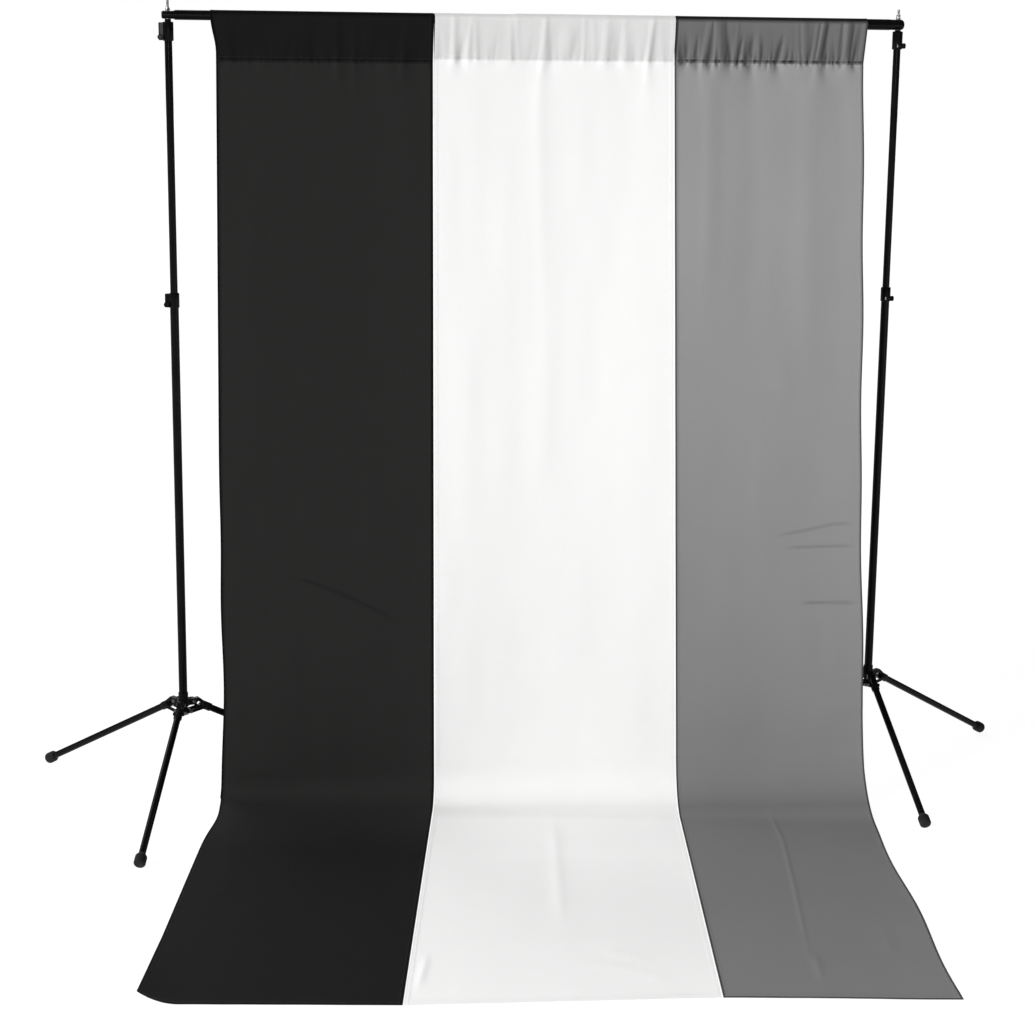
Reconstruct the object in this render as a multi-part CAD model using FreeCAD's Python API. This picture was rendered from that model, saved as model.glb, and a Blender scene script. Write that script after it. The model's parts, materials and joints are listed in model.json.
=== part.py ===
import math
import os

import FreeCAD
import Part

# A studio background support: two tripod stands carry a telescopic crossbar, and three
# fabric panels hang from it side by side and sweep forward over the floor.
# Millimetres, +Z up, +X along the crossbar, -Y towards the subject.
# Everything is made with the origin on the floor midway between the stands. The last
# step moves it all, so that the origin is under the middle of the assembly's box.

Vec = FreeCAD.Vector
X = Vec(1, 0, 0)
Y = Vec(0, 1, 0)
Z = Vec(0, 0, 1)
SIDES = {"left": -1, "right": 1}

# ---- whole frame
STAND_SPACING = 1700.0
BAR_HEIGHT = 1830.0
RAISE = 770.0  # from the height shown to the stand's full 2.6 m
SPREAD = 750.0  # how far the crossbar's inner tube draws out

# ---- fits
SLIDE_GAP = 0.3  # radial, between telescoping tubes and other turning or sliding faces
SEAT_GAP = 0.05  # radial, between pieces that are fixed together
WALL = 1.2  # steel tube wall
NEAR = 0.1  # close enough, when an edge is picked by its place

# ---- tripod: three legs on a sliding crown, braced to a collar at the column's foot
LEG_AZIMUTH = {"left": 136.0, "right": 29.0}  # first leg, degrees from +X
LEG_COUNT = 3
FOOT_SPREAD = 454.0  # column axis to the foot's contact with the floor
LEG_DIAMETER = 16.0
LEG_PIVOT_RADIUS = 24.0
LEG_PIVOT_HEIGHT = 241.0
BRACE_PIVOT_RADIUS = 15.5
BRACE_PIVOT_HEIGHT = 218.0
BRACE_PIN = 32.0  # from the leg's pivot along the leg
FOLDED_ANGLE = 86.0  # leg below horizontal when the stand is closed

# ---- rubber foot cap
FOOT_DIAMETER = 27.0
FOOT_LENGTH = 30.0
FOOT_ROUNDING = 6.0
FOOT_FLAT = 0.6  # how much of the rounding is worn to a flat
FOOT_MOUTH = 9.6  # radius of the cap's mouth
FOOT_TAPER = 7.0  # length over which the mouth widens to full diameter
FOOT_BASE_WALL = 8.0

# ---- crown and its yokes
CROWN_RADIUS = 14.5
CROWN_LOW = 232.0
CROWN_HIGH = 250.0
CROWN_NECK_RADIUS = 11.6
CROWN_NECK_TOP = 264.0
EYE_RADIUS = 7.5
CHEEK_INNER = 6.6  # half the gap that takes a yoke's tongue
CHEEK_OUTER = 9.6
TONGUE_HALF = 6.2
SOCKET_RADIUS = 9.9
SOCKET_START = 22.0  # distances along the leg from its pivot
SOCKET_END = 48.0
TUBE_SEAT = 31.0
WINDOW_RADIUS = 5.0
WINDOW_AT = 14.0
SOCKET_CHAMFER = 1.0
TONGUE_LAP = 4.0  # how far the tongue runs into the socket
TONGUE_STEP = 0.6  # tongue's edge inside the socket's outside
YOKE_PEAK = (8.0, 13.0)  # along and above the leg's line
RIVET_RADIUS = 2.5
RIVET_HEAD_RADIUS = 4.5
RIVET_HEAD = 1.7
HEAD_TAPER = 0.6  # a rivet head's outer radius to its inner one

# ---- brace collar and straps
COLLAR_RING_RADIUS = 13.0
COLLAR_RING_HALF = 7.0
BRACE_EYE_RADIUS = 4.6
BRACE_LUG_HALF = 9.9
STRAP_INNER = 10.3
STRAP_NARROWING = 0.6  # a strap's half width inside its eyes' radius
STRAP_THICKNESS = 2.0
STRAP_RIVET_RADIUS = 2.2
STRAP_HEAD_RADIUS = 3.9
STRAP_HEAD = 1.4

# ---- column and risers
COLUMN_DIAMETER = 20.0
RISER_1_DIAMETER = 17.0
RISER_2_DIAMETER = 14.0
COLUMN_TOP = 1192.0
RISER_1_LENGTH = 928.0
RISER_2_LENGTH = 909.0
RISER_1_TOP = 1787.0
RISER_2_TOP = 1814.0
RISER_SHARE = 0.27  # part of a raise that the lower riser makes

# ---- split clamp collars and their screws
CLAMP_DIAMETER = 24.0
CLAMP_SOCKET = 14.0  # how far the collar reaches down over the lower tube's end
UPPER_CLAMP_HEIGHT = 42.0
LOWER_CLAMP_HEIGHT = 34.0
EAR_REACH = 21.0
EAR_WIDTH = 9.0
EAR_INSET = 1.5  # ears' ends inside the collar's, and the collar's chamfer
EAR_ROUNDING = 2.0
EAR_SLOT = 1.6
SCREW_REACH = 17.8  # clamp screw axis to column axis
SCREW_HEIGHT = 8.5  # clamp screw axis above the collar's lower end
SCREW_RADIUS = 2.0
SCREW_TAIL = 1.5  # beyond the ears
KNOB_RADIUS = 6.3
KNOB_LENGTH = 8.5
KNOB_EDGE = 1.0
KNOB_FLUTES = 9
FLUTE_RADIUS = 1.1
FLUTE_OUTSIDE = 0.3  # flute's centre outside the knob's radius
CLAMP_TURN = {"left": 180.0, "right": 270.0}  # which way the ears point, degrees from +X
CROWN_KNOB_HEIGHT = 257.5
CROWN_KNOB_AFTER = {"left": 3, "right": 2}  # the crown screw stands after this leg
CROWN_KNOB_RADIUS = 5.6
CROWN_KNOB_START = 13.6  # column axis to the knob's inner face

# ---- crossbar
OUTER_TUBE_DIAMETER = 25.0
MIDDLE_TUBE_DIAMETER = 22.0
INNER_TUBE_DIAMETER = 19.0
OUTER_TUBE_LENGTH = 900.0
MIDDLE_TUBE_LENGTH = 920.0
INNER_TUBE_LENGTH = 880.0
PLUG_OVERHANG = 14.0  # plug end beyond the stud
PLUG_BODY = {"left": 26.0, "right": 35.0}
PLUG_DIAMETER = {"left": 17.7, "right": 24.0}
PLUG_ROUNDING = {"left": 4.0, "right": 8.0}
PLUG_SPIGOT = 20.0
MIDDLE_TUBE_LAP = 3.0  # middle tube's end beyond the inner tube's

# ---- stud and wing nut
STUD_RADIUS = 4.0
STUD_HOLE_RADIUS = 4.5
STUD_TIP_RADIUS = 3.175  # a quarter-inch thread
STUD_RISE = 23.0  # above the crossbar's plug
STUD_NECK = (10.8, 12.2)  # groove between the nut's thread and the tip, above the plug
STUD_NECK_RADIUS = 2.5
STUD_CHAMFER = 0.6
STUD_LAP = 1.0  # how far the thread runs down into the plug's hole
STUD_SPIGOT = 14.0
NUT_HEIGHT = 7.0
NUT_RADIUS = 5.4
WING_SPAN = 12.0
WING_RISE = 3.0
WING_THICKNESS = 2.4

# ---- backdrop panels
PANEL_WIDTHS = {"black": 493.0, "white": 578.0, "gray": 453.0}  # left to right
SWEEP_WIDTH = sum(PANEL_WIDTHS.values())  # 5 ft
PANEL_GAP = 3.0
CLOTH = 1.0  # thickness
POCKET_RADIUS = OUTER_TUBE_DIAMETER / 2 + 0.4
POCKET_DROP = 98.0  # bar axis to where the pocket's two layers meet
SEAM_DROP = 103.0  # bar axis to the seam's lower edge
FLOOR_LINE_Y = (-14.0, -285.0)  # where the sheet meets the floor, at its left and right edges
FLOOR_LENGTH = (1127.0, 1104.0)  # along the floor, at the left and right edges
BEND = (50.0, 150.0)  # size of the curve from hanging to lying
BEND_STEPS = 6


# ------------------------------------------------------------------ shapes
def cylinder(radius, start, direction, length):
    return Part.makeCylinder(radius, length, start, direction)


def tube(diameter, start, direction, length):
    outer = cylinder(diameter / 2, start, direction, length)
    return outer.cut(cylinder(diameter / 2 - WALL, start, direction, length))


def prism(points, along):
    """The solid swept from a closed polygon by a vector."""
    return Part.Face(Part.makePolygon(points + [points[0]])).extrude(along)


def turned(shape, degrees):
    """A copy turned about the vertical axis."""
    return shape.rotated(Vec(0, 0, 0), Z, degrees)


def fused(shapes):
    first, rest = shapes[0], shapes[1:]
    return first.multiFuse(rest).removeSplitter()


def knob(radius, length, start, axis, screw_length):
    """A fluted thumb knob. Its screw runs from start against the axis, its head along it."""
    head = cylinder(radius, start, axis, length)
    rims = [e for e in head.Edges if isinstance(e.Curve, Part.Circle)]
    head = head.makeFillet(KNOB_EDGE, rims)
    side = axis.cross(Z)
    for i in range(KNOB_FLUTES):
        spot = FreeCAD.Rotation(axis, 360.0 * i / KNOB_FLUTES).multVec(side)
        head = head.cut(cylinder(FLUTE_RADIUS, start + spot * (radius + FLUTE_OUTSIDE), axis, length))
    screw = cylinder(SCREW_RADIUS, start - axis * screw_length, axis, screw_length + KNOB_EDGE)
    return head.fuse(screw)


def rivet(middle, axis, grip, radius, head_radius, head):
    """A shank with a coned head at each end, outside the grip."""
    end = axis * (grip / 2)
    shank = cylinder(radius, middle - end, axis, grip)
    top = Part.makeCone(head_radius, head_radius * HEAD_TAPER, head, middle + end, axis)
    bottom = Part.makeCone(head_radius, head_radius * HEAD_TAPER, head, middle - end, -axis)
    return fused([shank, top, bottom])


# ------------------------------------------------------------------ tripod
# A leg is made in the vertical plane through +X and turned to its azimuth afterwards.
LEG_REACH = FOOT_SPREAD - LEG_PIVOT_RADIUS
LEG_DROP = LEG_PIVOT_HEIGHT + FOOT_FLAT - FOOT_ROUNDING
RIM = FOOT_DIAMETER / 2 - FOOT_ROUNDING
RIM_ALONG = math.sqrt(LEG_REACH**2 + LEG_DROP**2 - RIM**2)
LEG_ANGLE = math.degrees(math.atan2(LEG_DROP, LEG_REACH) - math.atan2(RIM, RIM_ALONG))
LEG_LENGTH = RIM_ALONG + FOOT_ROUNDING  # pivot to the foot cap's end
FOLD_ANGLE = FOLDED_ANGLE - LEG_ANGLE

ALONG = Vec(math.cos(math.radians(LEG_ANGLE)), 0, -math.sin(math.radians(LEG_ANGLE)))
ABOVE = Vec(math.sin(math.radians(LEG_ANGLE)), 0, math.cos(math.radians(LEG_ANGLE)))
LEG_PIVOT = Vec(LEG_PIVOT_RADIUS, 0, LEG_PIVOT_HEIGHT)
BRACE_PIVOT = Vec(BRACE_PIVOT_RADIUS, 0, BRACE_PIVOT_HEIGHT)


def on_leg(along, above=0.0, aside=0.0):
    return LEG_PIVOT + ALONG * along + ABOVE * above + Y * aside


BRACE_END = on_leg(BRACE_PIN)


def folded_motion():
    """The crown's rise and the brace's turn, in degrees, when the legs close."""
    length = (BRACE_END - BRACE_PIVOT).Length
    folded = math.radians(FOLDED_ANGLE)
    reach = LEG_PIVOT_RADIUS + BRACE_PIN * math.cos(folded) - BRACE_PIVOT_RADIUS
    rise = math.sqrt(length**2 - reach**2)
    pivot = BRACE_PIVOT_HEIGHT + rise + BRACE_PIN * math.sin(folded)
    start = math.atan2(BRACE_END.z - BRACE_PIVOT.z, BRACE_END.x - BRACE_PIVOT.x)
    return pivot - LEG_PIVOT_HEIGHT, math.degrees(math.atan2(rise, reach) - start)


def leg_azimuth(side, number):
    return LEG_AZIMUTH[side] + 360.0 / LEG_COUNT * (number - 1)


def leg_tube():
    end = LEG_LENGTH - FOOT_BASE_WALL
    return tube(LEG_DIAMETER, on_leg(TUBE_SEAT), ALONG, end - TUBE_SEAT)


def leg_yoke():
    """A cast tongue with an eye on the crown's rivet and a socket for the leg tube."""
    edge = [
        (0, EYE_RADIUS),
        YOKE_PEAK,
        (SOCKET_START + TONGUE_LAP, SOCKET_RADIUS - TONGUE_STEP),
        (SOCKET_START + TONGUE_LAP, TONGUE_STEP - SOCKET_RADIUS),
        (0, -EYE_RADIUS),
    ]
    tongue = prism([on_leg(u, v, -TONGUE_HALF) for u, v in edge], Y * (2 * TONGUE_HALF))
    eye = cylinder(EYE_RADIUS, on_leg(0, 0, -TONGUE_HALF), Y, 2 * TONGUE_HALF)
    socket = cylinder(SOCKET_RADIUS, on_leg(SOCKET_START), ALONG, SOCKET_END - SOCKET_START)
    rims = [e for e in socket.Edges if isinstance(e.Curve, Part.Circle)]
    socket = socket.makeChamfer(SOCKET_CHAMFER, rims)
    yoke = fused([tongue, eye, socket])
    seat = LEG_DIAMETER / 2 + SEAT_GAP
    yoke = yoke.cut(cylinder(seat, on_leg(TUBE_SEAT), ALONG, SOCKET_END))
    hole = RIVET_RADIUS + SLIDE_GAP
    yoke = yoke.cut(cylinder(hole, on_leg(0, 0, -TONGUE_HALF), Y, 2 * TONGUE_HALF))
    return yoke.cut(cylinder(WINDOW_RADIUS, on_leg(WINDOW_AT, 0, -SOCKET_RADIUS), Y, 2 * SOCKET_RADIUS))


def leg_foot():
    """A rubber cap over the tube's end, tapered at its mouth and flat where it stands."""
    start, end = LEG_LENGTH - FOOT_LENGTH, LEG_LENGTH
    radius, rounding = FOOT_DIAMETER / 2, FOOT_ROUNDING
    corner = rounding * (1 - math.sqrt(0.5))
    mouth = on_leg(start, FOOT_MOUTH)
    shoulder = on_leg(start + FOOT_TAPER, radius)
    rim = on_leg(end - rounding, radius)
    turn = on_leg(end - corner, radius - corner)
    face = on_leg(end, radius - rounding)
    outline = Part.Wire([
        Part.LineSegment(on_leg(start), mouth).toShape(),
        Part.LineSegment(mouth, shoulder).toShape(),
        Part.LineSegment(shoulder, rim).toShape(),
        Part.Arc(rim, turn, face).toShape(),
        Part.LineSegment(face, on_leg(end)).toShape(),
        Part.LineSegment(on_leg(end), on_leg(start)).toShape(),
    ])
    cap = Part.Face(outline).revolve(LEG_PIVOT, ALONG, 360)
    seat = LEG_DIAMETER / 2 + SEAT_GAP
    cap = cap.cut(cylinder(seat, on_leg(start), ALONG, FOOT_LENGTH - FOOT_BASE_WALL + SEAT_GAP))
    size = 4 * FOOT_DIAMETER
    below_floor = Part.makeBox(size, size, size, Vec(FOOT_SPREAD - size / 2, -size / 2, -size))
    return cap.cut(below_floor)


def crown():
    """The sliding casting with a forked lug for each leg and a neck for its thumb screw."""
    pieces = [
        cylinder(CROWN_RADIUS, Z * CROWN_LOW, Z, CROWN_HIGH - CROWN_LOW),
        cylinder(CROWN_NECK_RADIUS, Z * CROWN_LOW, Z, CROWN_NECK_TOP - CROWN_LOW),
    ]
    width = CHEEK_OUTER - CHEEK_INNER
    for number in range(LEG_COUNT):
        for start in (CHEEK_INNER, -CHEEK_OUTER):
            eye = cylinder(EYE_RADIUS, LEG_PIVOT + Y * start, Y, width)
            root = Vec(0, start, LEG_PIVOT_HEIGHT - EYE_RADIUS)
            web = Part.makeBox(LEG_PIVOT_RADIUS, width, 2 * EYE_RADIUS, root)
            cheek = eye.fuse(web)
            pieces.append(turned(cheek, 360.0 / LEG_COUNT * number))
    body = fused(pieces)
    bore = COLUMN_DIAMETER / 2 + SLIDE_GAP
    body = body.cut(cylinder(bore, Z * CROWN_LOW, Z, CROWN_NECK_TOP - CROWN_LOW))
    hole = cylinder(RIVET_RADIUS + SEAT_GAP, LEG_PIVOT - Y * CHEEK_OUTER, Y, 2 * CHEEK_OUTER)
    for number in range(LEG_COUNT):
        body = body.cut(turned(hole, 360.0 / LEG_COUNT * number))
    return body


def crown_rivets():
    grip = 2 * (CHEEK_OUTER + SEAT_GAP)
    one = rivet(LEG_PIVOT, Y, grip, RIVET_RADIUS, RIVET_HEAD_RADIUS, RIVET_HEAD)
    return Part.makeCompound([turned(one, 360.0 / LEG_COUNT * i) for i in range(LEG_COUNT)])


def brace_collar():
    """The fixed collar at the column's foot, with a lug for each pair of straps."""
    low = BRACE_PIVOT_HEIGHT - COLLAR_RING_HALF
    pieces = [cylinder(COLLAR_RING_RADIUS, Z * low, Z, 2 * COLLAR_RING_HALF)]
    for number in range(LEG_COUNT):
        eye = cylinder(BRACE_EYE_RADIUS, BRACE_PIVOT - Y * BRACE_LUG_HALF, Y, 2 * BRACE_LUG_HALF)
        root = Vec(0, -BRACE_LUG_HALF, BRACE_PIVOT_HEIGHT - BRACE_EYE_RADIUS)
        web = Part.makeBox(BRACE_PIVOT_RADIUS, 2 * BRACE_LUG_HALF, 2 * BRACE_EYE_RADIUS, root)
        pieces.append(turned(eye.fuse(web), 360.0 / LEG_COUNT * number))
    body = fused(pieces)
    seat = COLUMN_DIAMETER / 2 + SEAT_GAP
    body = body.cut(cylinder(seat, Z * low, Z, 2 * COLLAR_RING_HALF))
    hole = cylinder(STRAP_RIVET_RADIUS + SEAT_GAP, BRACE_PIVOT - Y * BRACE_LUG_HALF, Y, 2 * BRACE_LUG_HALF)
    for number in range(LEG_COUNT):
        body = body.cut(turned(hole, 360.0 / LEG_COUNT * number))
    return body


def brace_collar_rivets():
    grip = 2 * (STRAP_INNER + STRAP_THICKNESS + SLIDE_GAP)
    one = rivet(BRACE_PIVOT, Y, grip, STRAP_RIVET_RADIUS, STRAP_HEAD_RADIUS, STRAP_HEAD)
    return Part.makeCompound([turned(one, 360.0 / LEG_COUNT * i) for i in range(LEG_COUNT)])


def brace():
    """A pair of pressed straps, one each side of the leg, with a rivet head at their outer end."""
    line = (BRACE_END - BRACE_PIVOT).normalize()
    across = line.cross(Y) * (BRACE_EYE_RADIUS - STRAP_NARROWING)
    straps = []
    for way in (1, -1):
        inner = Y * (way * STRAP_INNER)
        through = Y * (way * STRAP_THICKNESS)
        eyes = [
            cylinder(BRACE_EYE_RADIUS, end + inner, Y * way, STRAP_THICKNESS)
            for end in (BRACE_PIVOT, BRACE_END)
        ]
        ends = (BRACE_PIVOT - across, BRACE_PIVOT + across, BRACE_END + across, BRACE_END - across)
        web = prism([point + inner for point in ends], through)
        strap = fused([web] + eyes)
        hole = cylinder(STRAP_RIVET_RADIUS + SLIDE_GAP, BRACE_PIVOT + inner, Y * way, STRAP_THICKNESS)
        face = BRACE_END + inner + through
        tip_radius = STRAP_HEAD_RADIUS * HEAD_TAPER
        head = Part.makeCone(STRAP_HEAD_RADIUS, tip_radius, STRAP_HEAD, face, Y * way)
        straps.append(strap.cut(hole).fuse(head))
    return Part.makeCompound(straps)


def crown_knob_azimuth(side):
    """The crown's thumb screw stands midway between two legs."""
    return leg_azimuth(side, CROWN_KNOB_AFTER[side]) + 180.0 / LEG_COUNT


def crown_knob(side):
    start = Vec(CROWN_KNOB_START, 0, CROWN_KNOB_HEIGHT)
    screw = CROWN_KNOB_START - COLUMN_DIAMETER / 2 - SLIDE_GAP
    piece = knob(CROWN_KNOB_RADIUS, KNOB_LENGTH, start, X, screw)
    return turned(piece, crown_knob_azimuth(side))


def crown_with_screw_hole(side):
    hole = cylinder(SCREW_RADIUS + SLIDE_GAP, Z * CROWN_KNOB_HEIGHT, X, CROWN_KNOB_START)
    body = turned(crown(), LEG_AZIMUTH[side])
    return body.cut(turned(hole, crown_knob_azimuth(side)))


# ------------------------------------------------------------------ column, risers, clamps
def clamp_collar(low, height, lower_diameter, upper_diameter, side):
    """A split collar: a socket over the lower tube, a guide for the upper one, two ears."""
    body = cylinder(CLAMP_DIAMETER / 2, Z * low, Z, height)
    rims = [e for e in body.Edges if isinstance(e.Curve, Part.Circle)]
    body = body.makeChamfer(EAR_INSET, rims)
    ears_low = Vec(0, -EAR_WIDTH / 2, low + EAR_INSET)
    ears = Part.makeBox(EAR_REACH, EAR_WIDTH, height - 2 * EAR_INSET, ears_low)
    outer = [e for e in ears.Edges if e.BoundBox.XMin > EAR_REACH - NEAR]
    ears = ears.makeFillet(EAR_ROUNDING, outer)
    body = fused([body, ears])
    body = body.cut(cylinder(lower_diameter / 2 + SEAT_GAP, Z * low, Z, CLAMP_SOCKET + SLIDE_GAP))
    body = body.cut(cylinder(upper_diameter / 2 + SLIDE_GAP, Z * low, Z, height))
    body = body.cut(Part.makeBox(EAR_REACH, EAR_SLOT, height, Vec(0, -EAR_SLOT / 2, low)))
    screw = Vec(SCREW_REACH, -EAR_WIDTH, low + SCREW_HEIGHT)
    body = body.cut(cylinder(SCREW_RADIUS + SLIDE_GAP, screw, Y, 2 * EAR_WIDTH))
    return turned(body, CLAMP_TURN[side])


def clamp_knob(low, side):
    """The screw across a collar's ears. Its knob is on the ears' left, seen from the column."""
    start = Vec(SCREW_REACH, EAR_WIDTH / 2 + SLIDE_GAP, low + SCREW_HEIGHT)
    piece = knob(KNOB_RADIUS, KNOB_LENGTH, start, Y, EAR_WIDTH + SCREW_TAIL)
    return turned(piece, CLAMP_TURN[side])


LOWER_CLAMP_LOW = COLUMN_TOP - CLAMP_SOCKET
UPPER_CLAMP_LOW = RISER_1_TOP - CLAMP_SOCKET


def plug_low(side):
    return BAR_HEIGHT - PLUG_DIAMETER[side] / 2


def plug_high(side):
    return BAR_HEIGHT + PLUG_DIAMETER[side] / 2


def stud(side):
    """A turned stud pressed into the riser: shoulder under the crossbar, thread above it."""
    inside = RISER_2_DIAMETER / 2 - WALL - SEAT_GAP
    shoulder_top = plug_low(side) - SLIDE_GAP
    shank_top = plug_high(side) - STUD_LAP
    tip = plug_high(side) + STUD_RISE
    thread = cylinder(STUD_TIP_RADIUS, Z * shank_top, Z, tip - shank_top)
    end = [e for e in thread.Edges if e.BoundBox.ZMin > tip - NEAR]
    thread = thread.makeChamfer(STUD_CHAMFER, end)
    neck_low, neck_high = STUD_NECK
    groove = cylinder(STUD_RADIUS, Z * (plug_high(side) + neck_low), Z, neck_high - neck_low)
    core = cylinder(STUD_NECK_RADIUS, Z * shank_top, Z, tip - shank_top)
    thread = thread.cut(groove.cut(core))
    return fused([
        cylinder(inside, Z * (RISER_2_TOP - STUD_SPIGOT), Z, STUD_SPIGOT),
        cylinder(RISER_2_DIAMETER / 2, Z * RISER_2_TOP, Z, shoulder_top - RISER_2_TOP),
        cylinder(STUD_RADIUS, Z * shoulder_top, Z, shank_top - shoulder_top),
        thread,
    ])


def wing_nut(side):
    low = plug_high(side) + SLIDE_GAP
    body = Part.makeCone(NUT_RADIUS, NUT_RADIUS - 1.0, NUT_HEIGHT, Z * low, Z)
    pieces = [body]
    for way in (1, -1):
        edge = [
            Vec(-WING_THICKNESS / 2, way * 2.0, low + 1.0),
            Vec(-WING_THICKNESS / 2, way * (WING_SPAN - 3), low + 2.5),
            Vec(-WING_THICKNESS / 2, way * WING_SPAN, low + NUT_HEIGHT + WING_RISE - 2),
            Vec(-WING_THICKNESS / 2, way * (WING_SPAN - 3), low + NUT_HEIGHT + WING_RISE),
            Vec(-WING_THICKNESS / 2, way * 5.0, low + NUT_HEIGHT - 1),
            Vec(-WING_THICKNESS / 2, way * 2.0, low + NUT_HEIGHT - 1),
        ]
        pieces.append(prism(edge, X * WING_THICKNESS))
    nut = fused(pieces)
    return nut.cut(cylinder(STUD_TIP_RADIUS + SLIDE_GAP, Z * low, Z, NUT_HEIGHT))


def stand(side):
    """One tripod stand about its own column axis: node name to shape."""
    column_low = BRACE_PIVOT_HEIGHT - COLLAR_RING_HALF
    pieces = {
        "crown": crown_with_screw_hole(side),
        "crown_rivets": turned(crown_rivets(), LEG_AZIMUTH[side]),
        "crown_knob": crown_knob(side),
        "brace_collar": turned(brace_collar(), LEG_AZIMUTH[side]),
        "brace_collar_rivets": turned(brace_collar_rivets(), LEG_AZIMUTH[side]),
        "column_tube": tube(COLUMN_DIAMETER, Z * column_low, Z, COLUMN_TOP - column_low),
        "column_clamp": clamp_collar(
            LOWER_CLAMP_LOW, LOWER_CLAMP_HEIGHT, COLUMN_DIAMETER, RISER_1_DIAMETER, side
        ),
        "column_clamp_knob": clamp_knob(LOWER_CLAMP_LOW, side),
        "riser_1_tube": tube(RISER_1_DIAMETER, Z * (RISER_1_TOP - RISER_1_LENGTH), Z, RISER_1_LENGTH),
        "riser_1_clamp": clamp_collar(
            UPPER_CLAMP_LOW, UPPER_CLAMP_HEIGHT, RISER_1_DIAMETER, RISER_2_DIAMETER, side
        ),
        "riser_1_clamp_knob": clamp_knob(UPPER_CLAMP_LOW, side),
        "riser_2_tube": tube(RISER_2_DIAMETER, Z * (RISER_2_TOP - RISER_2_LENGTH), Z, RISER_2_LENGTH),
        "stud": stud(side),
        "wing_nut": wing_nut(side),
    }
    for number in range(1, LEG_COUNT + 1):
        azimuth = leg_azimuth(side, number)
        pieces[f"leg_{number}_tube"] = turned(leg_tube(), azimuth)
        pieces[f"leg_{number}_yoke"] = turned(leg_yoke(), azimuth)
        pieces[f"leg_{number}_foot"] = turned(leg_foot(), azimuth)
        pieces[f"brace_{number}"] = turned(brace(), azimuth)
    return pieces


# ------------------------------------------------------------------ crossbar
def stand_x(side):
    return SIDES[side] * STAND_SPACING / 2


def plug_joint(side):
    """Where a plug's body meets its tube."""
    return stand_x(side) + SIDES[side] * (PLUG_OVERHANG - PLUG_BODY[side])


def end_plug(side, spigot_diameter):
    """A moulded plug: a spigot in the tube's end and a domed body with the stud's hole."""
    outward = X * SIDES[side]
    start = Vec(plug_joint(side), 0, BAR_HEIGHT)
    body = cylinder(PLUG_DIAMETER[side] / 2, start, outward, PLUG_BODY[side])
    tip = SIDES[side] * (STAND_SPACING / 2 + PLUG_OVERHANG)
    end = [e for e in body.Edges if abs(e.BoundBox.XMin - tip) < NEAR and abs(e.BoundBox.XMax - tip) < NEAR]
    body = body.makeFillet(PLUG_ROUNDING[side], end)
    spigot = cylinder(spigot_diameter / 2 - SEAT_GAP, start - outward * PLUG_SPIGOT, outward, PLUG_SPIGOT)
    low = Vec(stand_x(side), 0, plug_low(side))
    return fused([body, spigot]).cut(cylinder(STUD_HOLE_RADIUS, low, Z, PLUG_DIAMETER[side]))


def crossbar():
    left_end = plug_joint("left")
    right_end = plug_joint("right")
    axis = Z * BAR_HEIGHT
    outer_start = axis + X * (right_end - OUTER_TUBE_LENGTH)
    return {
        "crossbar_outer_tube": tube(OUTER_TUBE_DIAMETER, outer_start, X, OUTER_TUBE_LENGTH),
        "crossbar_middle_tube": tube(
            MIDDLE_TUBE_DIAMETER, axis + X * (left_end + MIDDLE_TUBE_LAP), X, MIDDLE_TUBE_LENGTH
        ),
        "crossbar_inner_tube": tube(INNER_TUBE_DIAMETER, axis + X * left_end, X, INNER_TUBE_LENGTH),
        "crossbar_outer_plug": end_plug("right", OUTER_TUBE_DIAMETER - 2 * WALL),
        "crossbar_inner_plug": end_plug("left", INNER_TUBE_DIAMETER - 2 * WALL),
    }


# ------------------------------------------------------------------ backdrop panels
def between(pair, share):
    return pair[0] + (pair[1] - pair[0]) * share


FLOOR_SKEW = math.atan2(FLOOR_LINE_Y[1] - FLOOR_LINE_Y[0], SWEEP_WIDTH)
FLOOR_WAY = Vec(math.sin(FLOOR_SKEW), -math.cos(FLOOR_SKEW), 0)
FLOOR_EDGE = Vec(math.cos(FLOOR_SKEW), math.sin(FLOOR_SKEW), 0)


def sweep_profile(share):
    """Middle of the sheet at one place across the sweep, from the seam down and forward."""
    x = SWEEP_WIDTH * (share - 0.5)
    seam = Vec(x, 0, BAR_HEIGHT - POCKET_DROP - CLOTH)
    corner = Vec(x, between(FLOOR_LINE_Y, share), CLOTH / 2)
    down = (corner - seam).normalize()
    bend = between(BEND, share)
    points = [seam]
    for step in range(BEND_STEPS + 1):
        k = step / BEND_STEPS
        hanging = corner - down * (bend * (1 - k) ** 2)
        points.append(hanging + FLOOR_WAY * (bend * k**2))
    points.append(corner + FLOOR_WAY * between(FLOOR_LENGTH, share))
    return points


def skins(points):
    """Front and back faces of the sheet's edge, half its thickness either side."""
    front, back = [], []
    for i, point in enumerate(points):
        way = points[min(i + 1, len(points) - 1)] - points[max(i - 1, 0)]
        if i in (0, 1):
            way = points[1] - points[0]
        if i >= len(points) - 2:
            way = FLOOR_WAY
        normal = way.cross(FLOOR_EDGE).normalize() * (-CLOTH / 2)
        front.append(point + normal)
        back.append(point - normal)
    return front, back


def facets(a, b, c, d):
    """Two flat triangles across a four-sided patch."""
    return [Part.Face(Part.makePolygon([p, q, r, p])) for p, q, r in ((a, b, c), (a, c, d))]


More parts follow.
